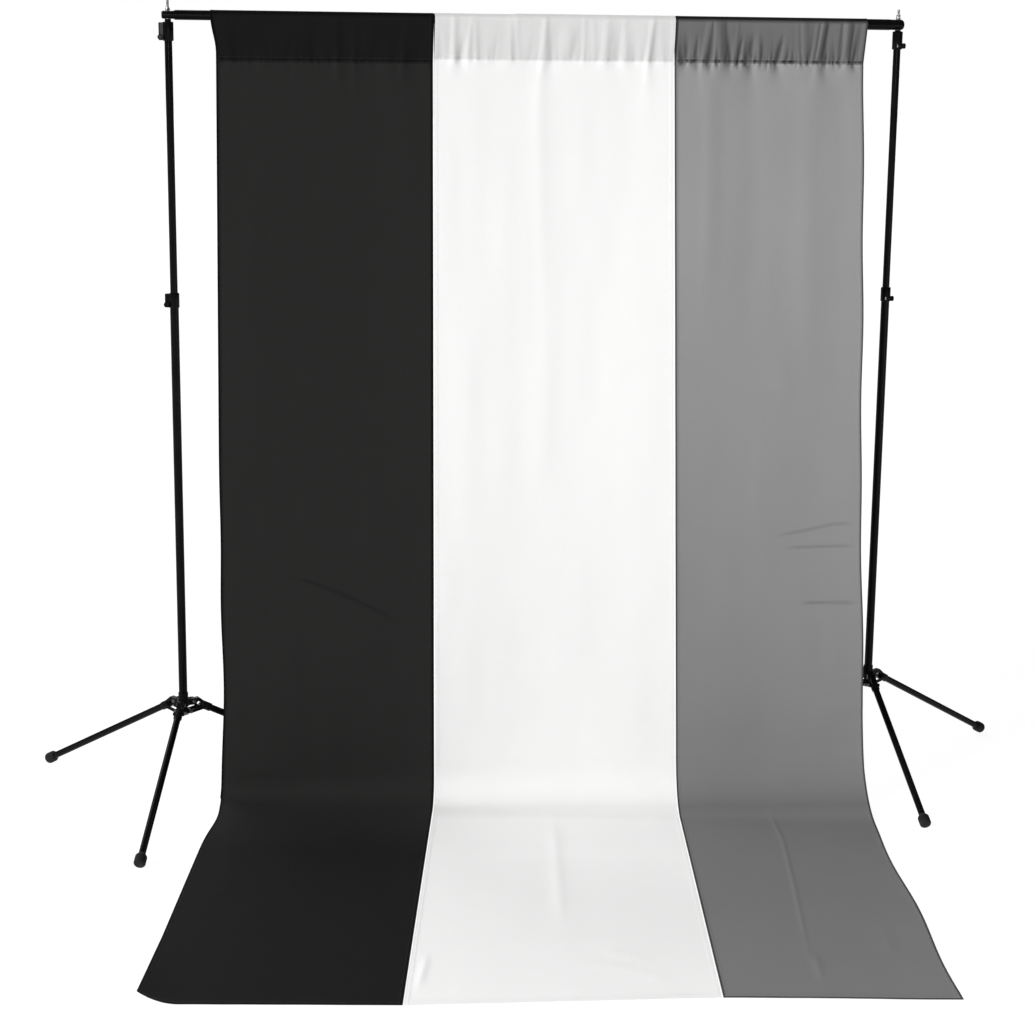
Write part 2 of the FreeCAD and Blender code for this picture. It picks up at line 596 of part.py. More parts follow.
def sweep_sheet(first, last):
    """The closed sheet between two places across the sweep."""
    front_1, back_1 = skins(sweep_profile(first))
    front_2, back_2 = skins(sweep_profile(last))
    faces = []
    for i in range(len(front_1) - 1):
        faces += facets(front_1[i], front_2[i], front_2[i + 1], front_1[i + 1])
        faces += facets(back_1[i], back_1[i + 1], back_2[i + 1], back_2[i])
        faces += facets(front_1[i], front_1[i + 1], back_1[i + 1], back_1[i])
        faces += facets(front_2[i], back_2[i], back_2[i + 1], front_2[i + 1])
    for i in (0, -1):
        faces += facets(front_1[i], back_1[i], back_2[i], front_2[i])
    shell = Part.makeShell(faces)
    shell.sewShape()
    solid = Part.makeSolid(shell)
    if solid.Volume < 0:
        solid.reverse()
    return solid


def teardrop(x, radius, drop):
    """A pocket's outline: over the bar and down both sides to a point."""
    lean = math.asin(radius / drop)
    side = Vec(0, radius * math.cos(lean), -radius * math.sin(lean))
    centre = Vec(x, 0, BAR_HEIGHT)
    behind = centre + side
    ahead = centre + Vec(0, -side.y, side.z)
    point = centre - Z * drop
    return Part.Face(Part.Wire([
        Part.LineSegment(point, behind).toShape(),
        Part.Arc(behind, centre + Z * radius, ahead).toShape(),
        Part.LineSegment(ahead, point).toShape(),
    ]))


def panel(start, width):
    """One fabric panel: a rod pocket round the crossbar and the sheet that hangs from it."""
    first = (start + PANEL_GAP / 2) / SWEEP_WIDTH
    last = (start + width - PANEL_GAP / 2) / SWEEP_WIDTH
    x = SWEEP_WIDTH * (first - 0.5)
    along = X * (width - PANEL_GAP)
    pocket = teardrop(x, POCKET_RADIUS + CLOTH, SEAM_DROP).extrude(along)
    pocket = pocket.cut(teardrop(x, POCKET_RADIUS, POCKET_DROP).extrude(along))
    return pocket.fuse(sweep_sheet(first, last))


# ------------------------------------------------------------------ assembly
def assembly():
    nodes = {}
    for side in SIDES:
        for name, shape in stand(side).items():
            nodes[f"{side}_{name}"] = shape.translated(X * stand_x(side))
    nodes.update(crossbar())
    start = 0.0
    for name, width in PANEL_WIDTHS.items():
        nodes[f"backdrop_{name}"] = panel(start, width)
        start += width
    return nodes


def origin_under_middle(nodes):
    """The move that puts the origin on the floor under the middle of the assembly's box."""
    boxes = [shape.optimalBoundingBox() for shape in nodes.values()]
    middle_x = (min(b.XMin for b in boxes) + max(b.XMax for b in boxes)) / 2
    middle_y = (min(b.YMin for b in boxes) + max(b.YMax for b in boxes)) / 2
    return Vec(-middle_x, -middle_y, -min(b.ZMin for b in boxes))


NODES = assembly()
MOVE = origin_under_middle(NODES)
os.makedirs("parts", exist_ok=True)
for node_name, node_shape in NODES.items():
    node_shape.translated(MOVE).exportStep(f"parts/{node_name}.step")
rise, brace_turn = folded_motion()
print(f"{len(NODES)} nodes, moved by {MOVE}")
print(f"crossbar rises {RAISE}, the lower risers {RISER_SHARE:.0%} of it, and draws out {SPREAD}")
print(f"legs fold {FOLD_ANGLE:.4f} degrees, crowns rise {rise:.3f}, braces turn {brace_turn:.3f} degrees")
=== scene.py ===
"""Looks of the background support system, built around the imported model. Metres throughout."""
import json
import math

import bpy
import numpy as np
from mathutils import Matrix, Vector


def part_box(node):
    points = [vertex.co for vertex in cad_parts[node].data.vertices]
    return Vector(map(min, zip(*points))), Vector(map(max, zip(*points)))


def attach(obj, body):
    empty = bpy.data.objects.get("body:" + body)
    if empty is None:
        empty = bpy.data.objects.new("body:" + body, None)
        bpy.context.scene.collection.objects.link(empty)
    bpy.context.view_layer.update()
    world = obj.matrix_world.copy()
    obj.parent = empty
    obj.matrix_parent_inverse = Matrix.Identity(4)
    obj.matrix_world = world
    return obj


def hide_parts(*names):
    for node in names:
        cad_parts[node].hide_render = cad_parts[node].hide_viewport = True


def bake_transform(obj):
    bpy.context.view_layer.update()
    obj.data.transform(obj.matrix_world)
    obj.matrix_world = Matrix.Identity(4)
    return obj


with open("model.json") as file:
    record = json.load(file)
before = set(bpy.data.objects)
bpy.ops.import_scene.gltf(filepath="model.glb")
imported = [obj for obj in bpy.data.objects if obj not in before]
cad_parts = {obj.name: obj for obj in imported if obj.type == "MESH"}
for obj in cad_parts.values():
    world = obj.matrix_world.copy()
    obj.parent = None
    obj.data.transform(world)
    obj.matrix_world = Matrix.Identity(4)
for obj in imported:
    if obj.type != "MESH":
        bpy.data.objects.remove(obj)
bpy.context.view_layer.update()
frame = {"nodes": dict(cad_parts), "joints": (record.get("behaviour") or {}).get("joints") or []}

SIDES = ("left", "right")
X = Vector((1, 0, 0))
Y = Vector((0, 1, 0))
Z = Vector((0, 0, 1))


# ---- places read from the frame
def middle(node):
    low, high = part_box(node)
    return (low + high) / 2


def size(node):
    low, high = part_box(node)
    return high - low


def extent(node, start, way):
    """How near and how far a node reaches from a point along a direction."""
    reach = [(vertex.co - start).dot(way) for vertex in frame["nodes"][node].data.vertices]
    return min(reach), max(reach)


def girth(node, start, way, beyond=-1.0):
    """A node's largest radius about an axis, beyond a distance along it."""
    places = [vertex.co - start for vertex in frame["nodes"][node].data.vertices]
    return max((place - way * place.dot(way)).length for place in places if place.dot(way) > beyond)


HINGES = {j["name"]: (Vector(j["pos_m"]), Vector(j["axis"])) for j in frame["joints"] if "pos_m" in j}
STAND = {side: middle(f"{side}_column_tube") * Vector((1, 1, 0)) for side in SIDES}
BAR = middle("crossbar_outer_tube")
ORIGIN = Vector(((STAND["left"].x + STAND["right"].x) / 2, BAR.y, 0))
OUTER_RADIUS = size("crossbar_outer_tube").z / 2
MIDDLE_RADIUS = size("crossbar_middle_tube").z / 2
OUTER_TUBE_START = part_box("crossbar_outer_tube")[0].x

# ---- driving dimensions
PANELS = ("black", "white", "gray")


def per_panel(*values):
    return dict(zip(PANELS, values))


PANEL_GAP = 0.003
SWEEP_WIDTH = 1.524
PANEL_RIGHT = {name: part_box(f"backdrop_{name}")[1].x for name in PANELS}
SWEEP_LEFT = PANEL_RIGHT["gray"] + PANEL_GAP / 2 - SWEEP_WIDTH
PANEL_LEFT = per_panel(
    SWEEP_LEFT + PANEL_GAP / 2, PANEL_RIGHT["black"] + PANEL_GAP, PANEL_RIGHT["white"] + PANEL_GAP
)
PANEL_WIDTH = {name: PANEL_RIGHT[name] - PANEL_LEFT[name] for name in PANELS}

CLOTH = 0.0008
HEM = 0.008  # width of the turned edge
HEM_CLOTH = 0.0012
HEM_STITCH = 0.0062  # stitch line to the sheet's edge
HEM_COLUMNS = (0, 0.0004, 0.003, 0.0046, HEM_STITCH, HEM, HEM + 0.0012)
POCKET_DROP = per_panel(0.098, 0.089, 0.09)  # bar axis to the pocket's seam
SEAM_ALLOWANCE = 0.008
FLOOR_LINE_Y = (-0.014, -0.285)  # where the sheet meets the floor, at its left and right edges
FLOOR_LENGTH = (1.127, 1.104)
BEND = (0.05, 0.15)

ALLOWANCE_ROWS = 3
POCKET_BACK_ROWS = 10
POCKET_TOP_ROWS = 9
POCKET_FRONT_ROWS = 24
NEAR_SEAM = 0.064
NEAR_SEAM_ROWS = 16
HANGING_ROWS = 176
CREASED = (0.715, 0.09)  # middle and half width of the creased band, as shares of the hanging part
BEND_ROWS = 18
FLOOR_ROWS = 60
COLUMNS = 193


# ---- small numeric helpers
def between(pair, share):
    return pair[0] + (pair[1] - pair[0]) * share


def smoothstep(value, low, high):
    t = np.clip((np.asarray(value, float) - low) / (high - low), 0, 1)
    return t * t * (3 - 2 * t)


def shares(count):
    """Even shares from 0 up to, but without, 1."""
    return np.linspace(0, 1, count, endpoint=False)


def unit(vectors):
    return vectors / np.linalg.norm(vectors, axis=-1, keepdims=True)


def bell(value, centre, width):
    return np.exp(-(((value - centre) / width) ** 2))


NOISE_CELLS = 64
NOISE_OFFSET = (16.37, 16.71)  # keeps the coordinates inside the cells


def soft_noise(a, b, cell_a, cell_b, seed):
    """Smooth noise from -1 to 1 over two coordinates, one random value per cell corner."""
    values = np.random.default_rng(seed).uniform(-1, 1, (NOISE_CELLS, NOISE_CELLS))
    a = np.asarray(a) / cell_a + NOISE_OFFSET[0]
    b = np.asarray(b) / cell_b + NOISE_OFFSET[1]
    i = np.floor(a).astype(int)
    j = np.floor(b).astype(int)
    s = smoothstep(a - i, 0, 1)
    t = smoothstep(b - j, 0, 1)
    i, j = i % (NOISE_CELLS - 1), j % (NOISE_CELLS - 1)
    low = values[i, j] * (1 - s) + values[i + 1, j] * s
    high = values[i, j + 1] * (1 - s) + values[i + 1, j + 1] * s
    return low * (1 - t) + high * t


def distance_to_line(a, b, points):
    """Each place's distance to a bent line, and how far along it is, 0 to 1."""
    best = np.full(np.shape(a), np.inf)
    along = np.zeros(np.shape(a))
    legs = len(points) - 1
    for k in range(legs):
        start, end = np.array(points[k]), np.array(points[k + 1])
        way = end - start
        t = np.clip(((a - start[0]) * way[0] + (b - start[1]) * way[1]) / way.dot(way), 0, 1)
        gap = np.hypot(a - start[0] - t * way[0], b - start[1] - t * way[1])
        nearer = gap < best
        best = np.where(nearer, gap, best)
        along = np.where(nearer, (k + t) / legs, along)
    return best, along


# ---- material helpers
MIX_COLOUR_A = 6  # a Mix node's first colour socket


class Shader:
    """A material's node tree, with a short call for each kind of node."""

    def __init__(self, name):
        self.material = bpy.data.materials.new(name)
        self.material.use_nodes = True
        self.tree = self.material.node_tree
        self.tree.nodes.clear()
        self.surface = self.node("BsdfPrincipled")
        self.node("OutputMaterial", Surface=self.surface.outputs["BSDF"])

    def feed(self, socket, value):
        if isinstance(value, bpy.types.NodeSocket):
            self.tree.links.new(value, socket)
        else:
            socket.default_value = value

    def set(self, **values):
        for name, value in values.items():
            self.feed(self.surface.inputs[name.replace("_", " ")], value)

    def node(self, kind, **inputs):
        node = self.tree.nodes.new("ShaderNode" + kind)
        for name, value in inputs.items():
            self.feed(node.inputs[name.replace("_", " ")], value)
        return node

    def place(self):
        return self.node("TexCoord").outputs["Object"]

    def attribute(self, name, output="Vector"):
        node = self.node("Attribute")
        node.attribute_name = name
        return node.outputs[output]

    def mapped(self, vector, scale=(1, 1, 1), rotation=(0, 0, 0)):
        return self.node("Mapping", Vector=vector, Scale=scale, Rotation=rotation).outputs["Vector"]

    def axis(self, vector, letter):
        return self.node("SeparateXYZ", Vector=vector).outputs[letter]

    def noise(self, scale, detail, roughness=0.5, place=None):
        place = place or self.place()
        node = self.node("TexNoise", Vector=place, Scale=scale, Detail=detail, Roughness=roughness)
        return node.outputs["Fac"]

    def math(self, operation, a, b=0.0):
        node = self.node("Math")
        node.operation = operation
        self.feed(node.inputs[0], a)
        self.feed(node.inputs[1], b)
        return node.outputs[0]

    def times(self, a, b):
        return self.math("MULTIPLY", a, b)

    def remap(self, value, low, high, to_low=0.0, to_high=1.0):
        ends = dict(From_Min=low, From_Max=high, To_Min=to_low, To_Max=to_high)
        return self.node("MapRange", Value=value, **ends).outputs["Result"]

    def mix(self, factor, a, b):
        node = self.node("Mix")
        node.data_type = "RGBA"
        self.feed(node.inputs["Factor"], factor)
        self.feed(node.inputs[MIX_COLOUR_A], a)
        self.feed(node.inputs[MIX_COLOUR_A + 1], b)
        return node.outputs[2]

    def bump(self, height, distance, strength=1.0, normal=None):
        node = self.node("Bump", Strength=strength, Distance=distance, Height=height)
        if normal is not None:
            self.feed(node.inputs["Normal"], normal)
        return node.outputs["Normal"]

    def grained(self, colour, grain, rough, depth, strength, **more):
        """Sets a colour, and a roughness and relief that follow one grain."""
        rough = self.remap(grain, 0.3, 0.7, *rough)
        self.set(Base_Color=colour, Roughness=rough, Normal=self.bump(grain, depth, strength), **more)


def grey(level, warmth=0.0):
    """A near-neutral colour; warmth above 0 leans to red, below 0 to blue."""
    return (level * (1 + warmth), level, level * (1 - warmth), 1.0)


def lengthwise(shader, direction, stretch):
    """Object coordinates with the third axis along a direction, drawn out along it."""
    turn = direction.to_track_quat("Z", "Y").inverted().to_euler()
    turned = shader.mapped(shader.place(), rotation=turn)
    return shader.mapped(turned, scale=(1, 1, 1 / stretch))


def painted_tube(name, direction):
    """Satin black paint on steel tube, rubbed along its length where tubes slide."""
    shader = Shader(name)
    drawn = lengthwise(shader, direction, 45)
    rub = shader.remap(shader.noise(420, 3, 0.6, drawn), 0.6, 0.74)
    cloudy = shader.remap(shader.noise(22, 3), 0.3, 0.7)
    rub = shader.times(rub, cloudy)
    tone = shader.mix(cloudy, grey(0.0022, 0.03), grey(0.004, 0.03))
    shader.set(
        Base_Color=shader.mix(rub, tone, grey(0.014)),
        Roughness=shader.remap(shader.noise(260, 2, place=drawn), 0.3, 0.7, 0.11, 0.17),
        Normal=shader.bump(shader.noise(1300, 2), 0.00003, 0.2),
        Specular_IOR_Level=0.055,
    )
    return shader.material


def moulded_plastic():
    """Black glass-filled nylon with a fine spark-eroded grain."""
    shader = Shader("plastic")
    cloudy = shader.remap(shader.noise(60, 3), 0.3, 0.7)
    tone = shader.mix(cloudy, grey(0.0025), grey(0.0045))
    grain = shader.noise(2600, 3, 0.6)
    shader.grained(tone, grain, (0.15, 0.24), 0.00004, 0.3, Specular_IOR_Level=0.06)
    return shader.material


def painted_casting():
    """Black paint over cast alloy, chipped to dull metal in a few spots."""
    shader = Shader("casting")
    peel = shader.noise(700, 2)
    chip = shader.remap(shader.noise(240, 5, 0.7), 0.7, 0.73)
    cloudy = shader.remap(shader.noise(40, 2), 0.3, 0.7)
    paint = shader.mix(cloudy, grey(0.0025), grey(0.0045, 0.02))
    tone = shader.mix(chip, paint, grey(0.09))
    metal = shader.times(chip, 0.8)
    shader.grained(tone, peel, (0.26, 0.4), 0.00008, 0.35, Metallic=metal, Specular_IOR_Level=0.06)
    return shader.material


def dusty_rubber():
    """Black rubber, greyed by dust towards the floor."""
    shader = Shader("rubber")
    speckle = shader.noise(900, 4, 0.65)
    low = shader.remap(shader.axis(shader.place(), "Z"), 0.022, 0.002)
    dust = shader.times(low, shader.remap(speckle, 0.42, 0.68, 0.0, 0.75))
    tone = shader.mix(dust, grey(0.006), grey(0.055, 0.05))
    shader.grained(tone, speckle, (0.66, 0.86), 0.00012, 0.5, Specular_IOR_Level=0.18)
    return shader.material


def plated_steel(name, bright, dulled):
    """Plated steel, finely turned and dulled in places."""
    shader = Shader(name)
    turned = shader.noise(600, 3, place=shader.mapped(shader.place(), (1, 1, 16)))
    dull = shader.remap(shader.noise(160, 4), 0.35, 0.7)
    tone = shader.mix(dull, grey(bright, 0.01), grey(dulled, 0.02))
    shader.grained(tone, turned, (0.2, 0.36), 0.00003, 0.5, Metallic=1.0)
    return shader.material


def cloth_material(name, levels_with_painted_light, doubled_shade_level, shade_and_binding_level, bend_shade, warmth, slub, weave):
    """Plain-woven cotton with its edges bound dark, and painted shade where it is doubled (pocket and
    hems), where it lies over the bar, along its seam and in the hollows of gathers and creases.

    The levels are of the hanging cloth's top and foot and of the floor part: its tone with painted
    light and shade down the sheet. The bend's shade is painted shade, how much darker the cloth is there
    and beyond it. Yarns follow the sheet's flat coordinates.
    """
    shader = Shader(name)
    flat = shader.attribute("flat_m")
    down = shader.axis(flat, "Y")
    # painted shade where the cloth is doubled: the pocket and the hems
    doubled_shade = shader.attribute("doubled_shade", "Fac")
    # painted shade over the bar, at the seam and in hollows, and the bound edges' own dark colour
    shade_and_binding = shader.attribute("dark", "Fac")

    def yarn(place):
        return shader.math("SINE", shader.times(place, 2 * math.pi / YARN_PITCH))

    yarns = shader.remap(shader.times(yarn(shader.axis(flat, "X")), yarn(down)), -1, 1)
    ways = (1, 0.03, 1), (0.03, 1, 1)
    warp, weft = (shader.noise(520, 3, place=shader.mapped(flat, way)) for way in ways)
    slubs = shader.remap(shader.math("ADD", warp, weft), 0.6, 1.4)
    clouds = shader.noise(9, 4, 0.55, flat)
    shade = shader.math("ADD", shader.times(slubs, slub), shader.times(yarns, weave))
    shade = shader.math("ADD", shade, shader.times(clouds, slub))
    shade = shader.remap(shade, 0, 2 * slub + weave, 0.0, 1.0)
    # painted light and shade: the level runs from the hanging top to the foot, then to the floor part's
    low = shader.remap(down, *LOW_CLOTH)
    lying = shader.remap(down, *LYING_CLOTH)

    def tone(share):
        # the pocket's level is darker by painted shade of the doubled cloth
        top, foot, floor_level, pocket = (grey(level * share, warmth) for level in (*levels_with_painted_light, doubled_shade_level))
        return shader.mix(doubled_shade, shader.mix(lying, shader.mix(low, top, foot), floor_level), pocket)

    # painted shade at the bend, and beyond it on the floor part
    begun = shader.remap(down, *BENDING_CLOTH)
    at_bend = shader.remap(down, *BENT_CLOTH, bend_shade[0], 0)
    beyond = shader.remap(down, *BEYOND_BEND, bend_shade[1], 0)
    bent = shader.times(begun, shader.math("MAXIMUM", at_bend, beyond))
    spread = slub + weave / 2
    dark, light = (shader.mix(bent, tone(share), grey(0)) for share in (1 - spread, 1 + spread))
    relief = shader.bump(yarns, 0.00012, 0.35)
    shader.set(
        Base_Color=shader.mix(shade_and_binding, shader.mix(shade, dark, light), grey(shade_and_binding_level, warmth)),
        Roughness=shader.remap(slubs, 0, 1, 0.84, 0.95),
        Normal=shader.bump(slubs, 0.00018, 0.4, relief),
        Specular_IOR_Level=0.06,
        Sheen_Weight=0.01,
        Sheen_Roughness=0.5,
    )
    return shader.material


def thread_material(name, level, warmth):
    """Twisted sewing thread."""
    shader = Shader(name)
    twist = shader.noise(2400, 2)
    tone = shader.mix(twist, grey(level * 0.75, warmth), grey(level * 1.2, warmth))
    shader.grained(tone, twist, (0.55, 0.75), 0.00008, 0.4)
    return shader.material


YARN_PITCH = 0.00085
# Stretches down the flat sheet, over which the cloth's painted light and shade change.
LOW_CLOTH = (0.6, 1.85)  # from upper to lower hanging cloth
LYING_CLOTH = (1.9, 2.3)  # round the bend on to the floor
BENDING_CLOTH = (1.86, 2.0)  # from the bend's start to where its shade is full
BENT_CLOTH = (2.0, 2.075)  # where the bend's own shade fades
BEYOND_BEND = (2.05, 2.7)  # where the shade on the floor part fades
# levels: each cloth's tone with painted light and shade, at the hanging top and foot and on the floor
CLOTH_LOOKS = {
    "black": dict(
        levels_with_painted_light=(0.0165, 0.0165, 0.0064), doubled_shade_level=0.0075, shade_and_binding_level=0.0015,
        bend_shade=(0.0, 0.0), warmth=0.02, slub=0.1, weave=0.1,
    ),
    "white": dict(
        levels_with_painted_light=(0.765, 0.725, 0.845), doubled_shade_level=0.625, shade_and_binding_level=0.54,
        bend_shade=(0.138, 0.0), warmth=0.003, slub=0.015, weave=0.02,
    ),
    "gray": dict(
        levels_with_painted_light=(0.246, 0.172, 0.178), doubled_shade_level=0.136, shade_and_binding_level=0.006,
        bend_shade=(0.29, 0.15), warmth=0.0, slub=0.045, weave=0.05,
    ),
}
THREAD_LEVEL = per_panel(0.016, 0.8, 0.27)
HEM_SHADE = per_panel(0.5, 0.03, 0.35)
EDGE_SHADE = per_panel(0.85, 0.05, 0.72)
EDGE_WIDTH = per_panel(0.0048, 0.003, 0.0034)
SEAM_SHADE = per_panel(0.5, 0.18, 0.8)
# painted shade between gathers and in creases
HOLLOW_SHADE = per_panel(0.3, 0.22, 0.42)  # between gathers and in creases
HOLLOW_CURVE = 70  # how sharply a hollow bends, per metre, where its shade is full
CREASE_DEPTH = 0.0014  # how deep a crease is where its shade is full


# ---- mesh helpers
def mesh_object(name, vertices, faces, material):
    mesh = bpy.data.meshes.new(name)
    mesh.from_pydata([tuple(v) for v in vertices], [], [tuple(f) for f in faces])
    mesh.polygons.foreach_set("use_smooth", [True] * len(mesh.polygons))
    mesh.materials.append(material)
    mesh.update()
    piece = bpy.data.objects.new(name, mesh)
    bpy.context.scene.collection.objects.link(piece)
    return piece


def grid_faces(rows, columns):
    index = np.arange(rows * columns).reshape(rows, columns)
    return np.stack([index[:-1, :-1], index[:-1, 1:], index[1:, 1:], index[1:, :-1]], -1).reshape(-1, 4)


def rim_faces(rows, columns):
    """The narrow band that joins a front grid to the back grid stored after it."""
    index = np.arange(rows * columns).reshape(rows, columns)
    loop = np.concatenate([index[0, :-1], index[:-1, -1], index[-1, :0:-1], index[:0:-1, 0]])
    following = np.roll(loop, -1)
    back = rows * columns
    return np.stack([following, loop, loop + back, following + back], -1)


def grid_normals(grid):
    return unit(np.cross(np.gradient(grid, axis=0), np.gradient(grid, axis=1)))


# ---- backdrop cloth
# Each panel is one sheet: a rod pocket over the bar, the hanging part, the bend and the part on the
# floor. Rows run down it, columns across it. Places on it are given across from its left edge and by
# height or, on the floor, by distance from the bend.
FLOOR_SKEW = math.atan2(FLOOR_LINE_Y[1] - FLOOR_LINE_Y[0], SWEEP_WIDTH)
FLOOR_WAY = np.array([math.sin(FLOOR_SKEW), -math.cos(FLOOR_SKEW), 0])


def columns_across(width):
    """Each column's distance from the panel's left edge, closer along both hems."""
    hem = np.array(HEM_COLUMNS)
    inner = np.linspace(HEM + 0.004, width - HEM - 0.004, COLUMNS - 2 * len(hem))
    return np.concatenate([hem, inner, width - hem[::-1]])


def bar_radius(x):
    """The pocket lies on the middle tube at the left and on the outer tube at the right."""
    step = smoothstep(x, OUTER_TUBE_START - 0.02, OUTER_TUBE_START - 0.001)
    return MIDDLE_RADIUS + (OUTER_RADIUS - MIDDLE_RADIUS) * step + CLOTH / 2 + 0.0003


def pocket_rows(x, pocket):
    """The pocket from the turned-under edge behind, up, over the bar and down to the seam."""
    radius = bar_radius(x)
    lean = np.arcsin(radius / pocket)
    behind = CLOTH + 0.0004
    side_y = radius * np.cos(lean)
    side_z = -radius * np.sin(lean)
    rows = [(behind, -pocket - SEAM_ALLOWANCE * (1 - t)) for t in shares(ALLOWANCE_ROWS)]
    for t in shares(POCKET_BACK_ROWS):
        rows.append((behind * (1 - t) + side_y * t, -pocket * (1 - t) + side_z * t))
    for t in shares(POCKET_TOP_ROWS):
        angle = -lean + (math.pi + 2 * lean) * t
        rows.append((radius * np.cos(angle), radius * np.sin(angle)))
    rows += [(-side_y * (1 - t), -pocket * t + side_z * (1 - t)) for t in shares(POCKET_FRONT_ROWS)]
    return [np.stack([x, BAR.y + y + 0 * x, BAR.z + z + 0 * x], -1) for y, z in rows]


def hanging_shares(count):
    """Shares of the hanging part from 0 to 1, closer together where it is creased."""
    even = np.linspace(0, 1, 400)
    reach = np.cumsum(1 + 4 * bell(even, *CREASED))
    return np.interp(np.linspace(reach[0], reach[-1], count, endpoint=False), reach, even)


def sweep_rows(x, pocket):
    """From the seam down to the floor, round the bend and forward to the front edge."""
    share = (x - SWEEP_LEFT) / SWEEP_WIDTH
    lying = HEM_CLOTH / 2
    seam = np.stack([x, BAR.y + 0 * x, BAR.z - pocket + 0 * x], -1)
    corner = np.stack([x, ORIGIN.y + between(FLOOR_LINE_Y, share), lying + 0 * x], -1)
    down = unit(corner - seam)
    bend = between(BEND, share)[:, None]
    free = np.linalg.norm(corner - down * bend - seam, axis=-1, keepdims=True) - NEAR_SEAM
    length = between(FLOOR_LENGTH, share)[:, None]
    close = HEM_COLUMNS[::-1]
    lying_free = length - bend - HEM - 0.004
    rows = [seam + down * NEAR_SEAM * t for t in shares(NEAR_SEAM_ROWS)]
    rows += [seam + down * (NEAR_SEAM + free * t) for t in hanging_shares(HANGING_ROWS - NEAR_SEAM_ROWS)]
    rows += [corner - down * bend * (1 - t) ** 2 + FLOOR_WAY * bend * t**2 for t in shares(BEND_ROWS)]
    rows += [corner + FLOOR_WAY * (bend + lying_free * t) for t in shares(FLOOR_ROWS - len(close))]
    rows += [corner + FLOOR_WAY * (length - back) for back in close]
    return rows


SEAM_ROW = ALLOWANCE_ROWS + POCKET_BACK_ROWS + POCKET_TOP_ROWS + POCKET_FRONT_ROWS
BEND_ROW = SEAM_ROW + HANGING_ROWS
FLOOR_ROW = BEND_ROW + BEND_ROWS


def random_gathers(name, pitch, seed, rise, spread, down, up):
    """Gathers at uneven spacing along a panel's seam, as in the table below."""
    rng = np.random.default_rng(seed)
    gathers = []
    place = pitch * 0.6
    while place < PANEL_WIDTH[name] - pitch * 0.4:
        sign = 1 if rng.uniform() < 0.6 else -0.75
        out = sign * rise * rng.uniform(0.35, 1.0)
        half = spread * rng.uniform(0.65, 1.25)
        gathers.append((place, out, half, down * rng.uniform(0.4, 1.4), up * rng.uniform(0.6, 1.3)))
        place += pitch * rng.uniform(0.55, 1.45)
    return gathers


# A gather at the seam: place across, how far it stands out, half width, length down and up.
GATHERS = {
    "black": [
        *random_gathers("black", 0.055, 11, 0.003, 0.011, 0.06, 0.07),
        *random_gathers("black", 0.014, 12, 0.0012, 0.0042, 0.01, 0.014),
    ],
    "white": [
        (0.045, 0.003, 0.0085, 0.025, 0.11), (0.064, -0.0024, 0.008, 0.02, 0.09),
        (0.175, 0.0012, 0.011, 0.02, 0.06), (0.256, 0.0021, 0.0075, 0.06, 0.13),
        (0.278, -0.0018, 0.009, 0.03, 0.1), (0.405, 0.0018, 0.01, 0.02, 0.09),
        (0.458, 0.002, 0.009, 0.02, 0.08), (0.512, 0.0024, 0.0075, 0.06, 0.13),
        *random_gathers("white", 0.03, 15, 0.0016, 0.008, 0.012, 0.1),
        *random_gathers("white", 0.015, 13, 0.0011, 0.0038, 0.006, 0.014),
    ],
    "gray": [
        *random_gathers("gray", 0.046, 5, 0.009, 0.0105, 0.03, 0.2),
        *random_gathers("gray", 0.024, 9, 0.0048, 0.006, 0.018, 0.07),
        *random_gathers("gray", 0.011, 6, 0.006, 0.0031, 0.008, 0.012),
    ],
}

# A soft vertical fold: place across, how far it stands out, half width, length below the seam.
FOLDS = {
    "black": [(0.1, 0.002, 0.05, 1.3), (0.34, -0.0018, 0.06, 1.1)],
    "white": [(0.256, 0.001, 0.016, 0.95), (0.45, -0.0008, 0.04, 0.9), (0.08, 0.0008, 0.035, 0.7)],
    "gray": [
        (0.07, 0.0016, 0.018, 0.55), (0.19, -0.0012, 0.028, 0.6),
        (0.31, 0.0022, 0.03, 0.8), (0.38, -0.001, 0.024, 0.75),
    ],
}

# A crease on the hanging part: points (across, height), how far it stands out or in, half width.
CREASES = {
    "black": [
        ([(0.154, 0.551), (0.24, 0.52), (0.302, 0.493), (0.444, 0.419)], -0.0014, 0.0038),
        ([(0.15, 0.275), (0.235, 0.245)], 0.0014, 0.009),
        ([(0.29, 0.205), (0.395, 0.14), (0.48, 0.09)], 0.0016, 0.01),
    ],
    "white": [([(0.3, 0.3), (0.42, 0.255)], 0.0008, 0.012)],
    "gray": [
        ([(0.225, 0.637), (0.3, 0.649), (0.378, 0.666), (0.446, 0.669)], -0.0007, 0.0034),
        ([(0.25, 0.61), (0.446, 0.616)], -0.0008, 0.0032),
        ([(0.29, 0.48), (0.446, 0.481)], -0.0009, 0.0032),
        ([(0.33, 0.21), (0.47, 0.25)], 0.0012, 0.012),
    ],
}

# A wrinkle on the floor: points (across, from the bend), how far it stands up, half width.
WRINKLES = {
    "black": [([(0.06, 0.3), (0.1, 0.62)], 0.0012, 0.018), ([(0.3, 0.75), (0.42, 0.98)], 0.001, 0.016)],
    "white": [
        ([(0.28, 0.1), (0.29, 0.8)], 0.0013, 0.014),
        ([(0.3, 0.96), (0.4, 0.99), (0.5, 1.06)], 0.0017, 0.008),
        ([(0.36, 0.9), (0.46, 0.96)], 0.0017, 0.008),
        ([(0.03, 0.9), (0.02, 1.06)], 0.0018, 0.008),
    ],
    "gray": [
        ([(0.212, 0.02), (0.222, 0.3), (0.207, 0.62), (0.184, 1.02)], 0.0011, 0.0055),
        ([(0.2, 0.94), (0.196, 1.07)], 0.0016, 0.01),
        ([(0.36, 0.8), (0.35, 0.98)], 0.0006, 0.012),
    ],
}


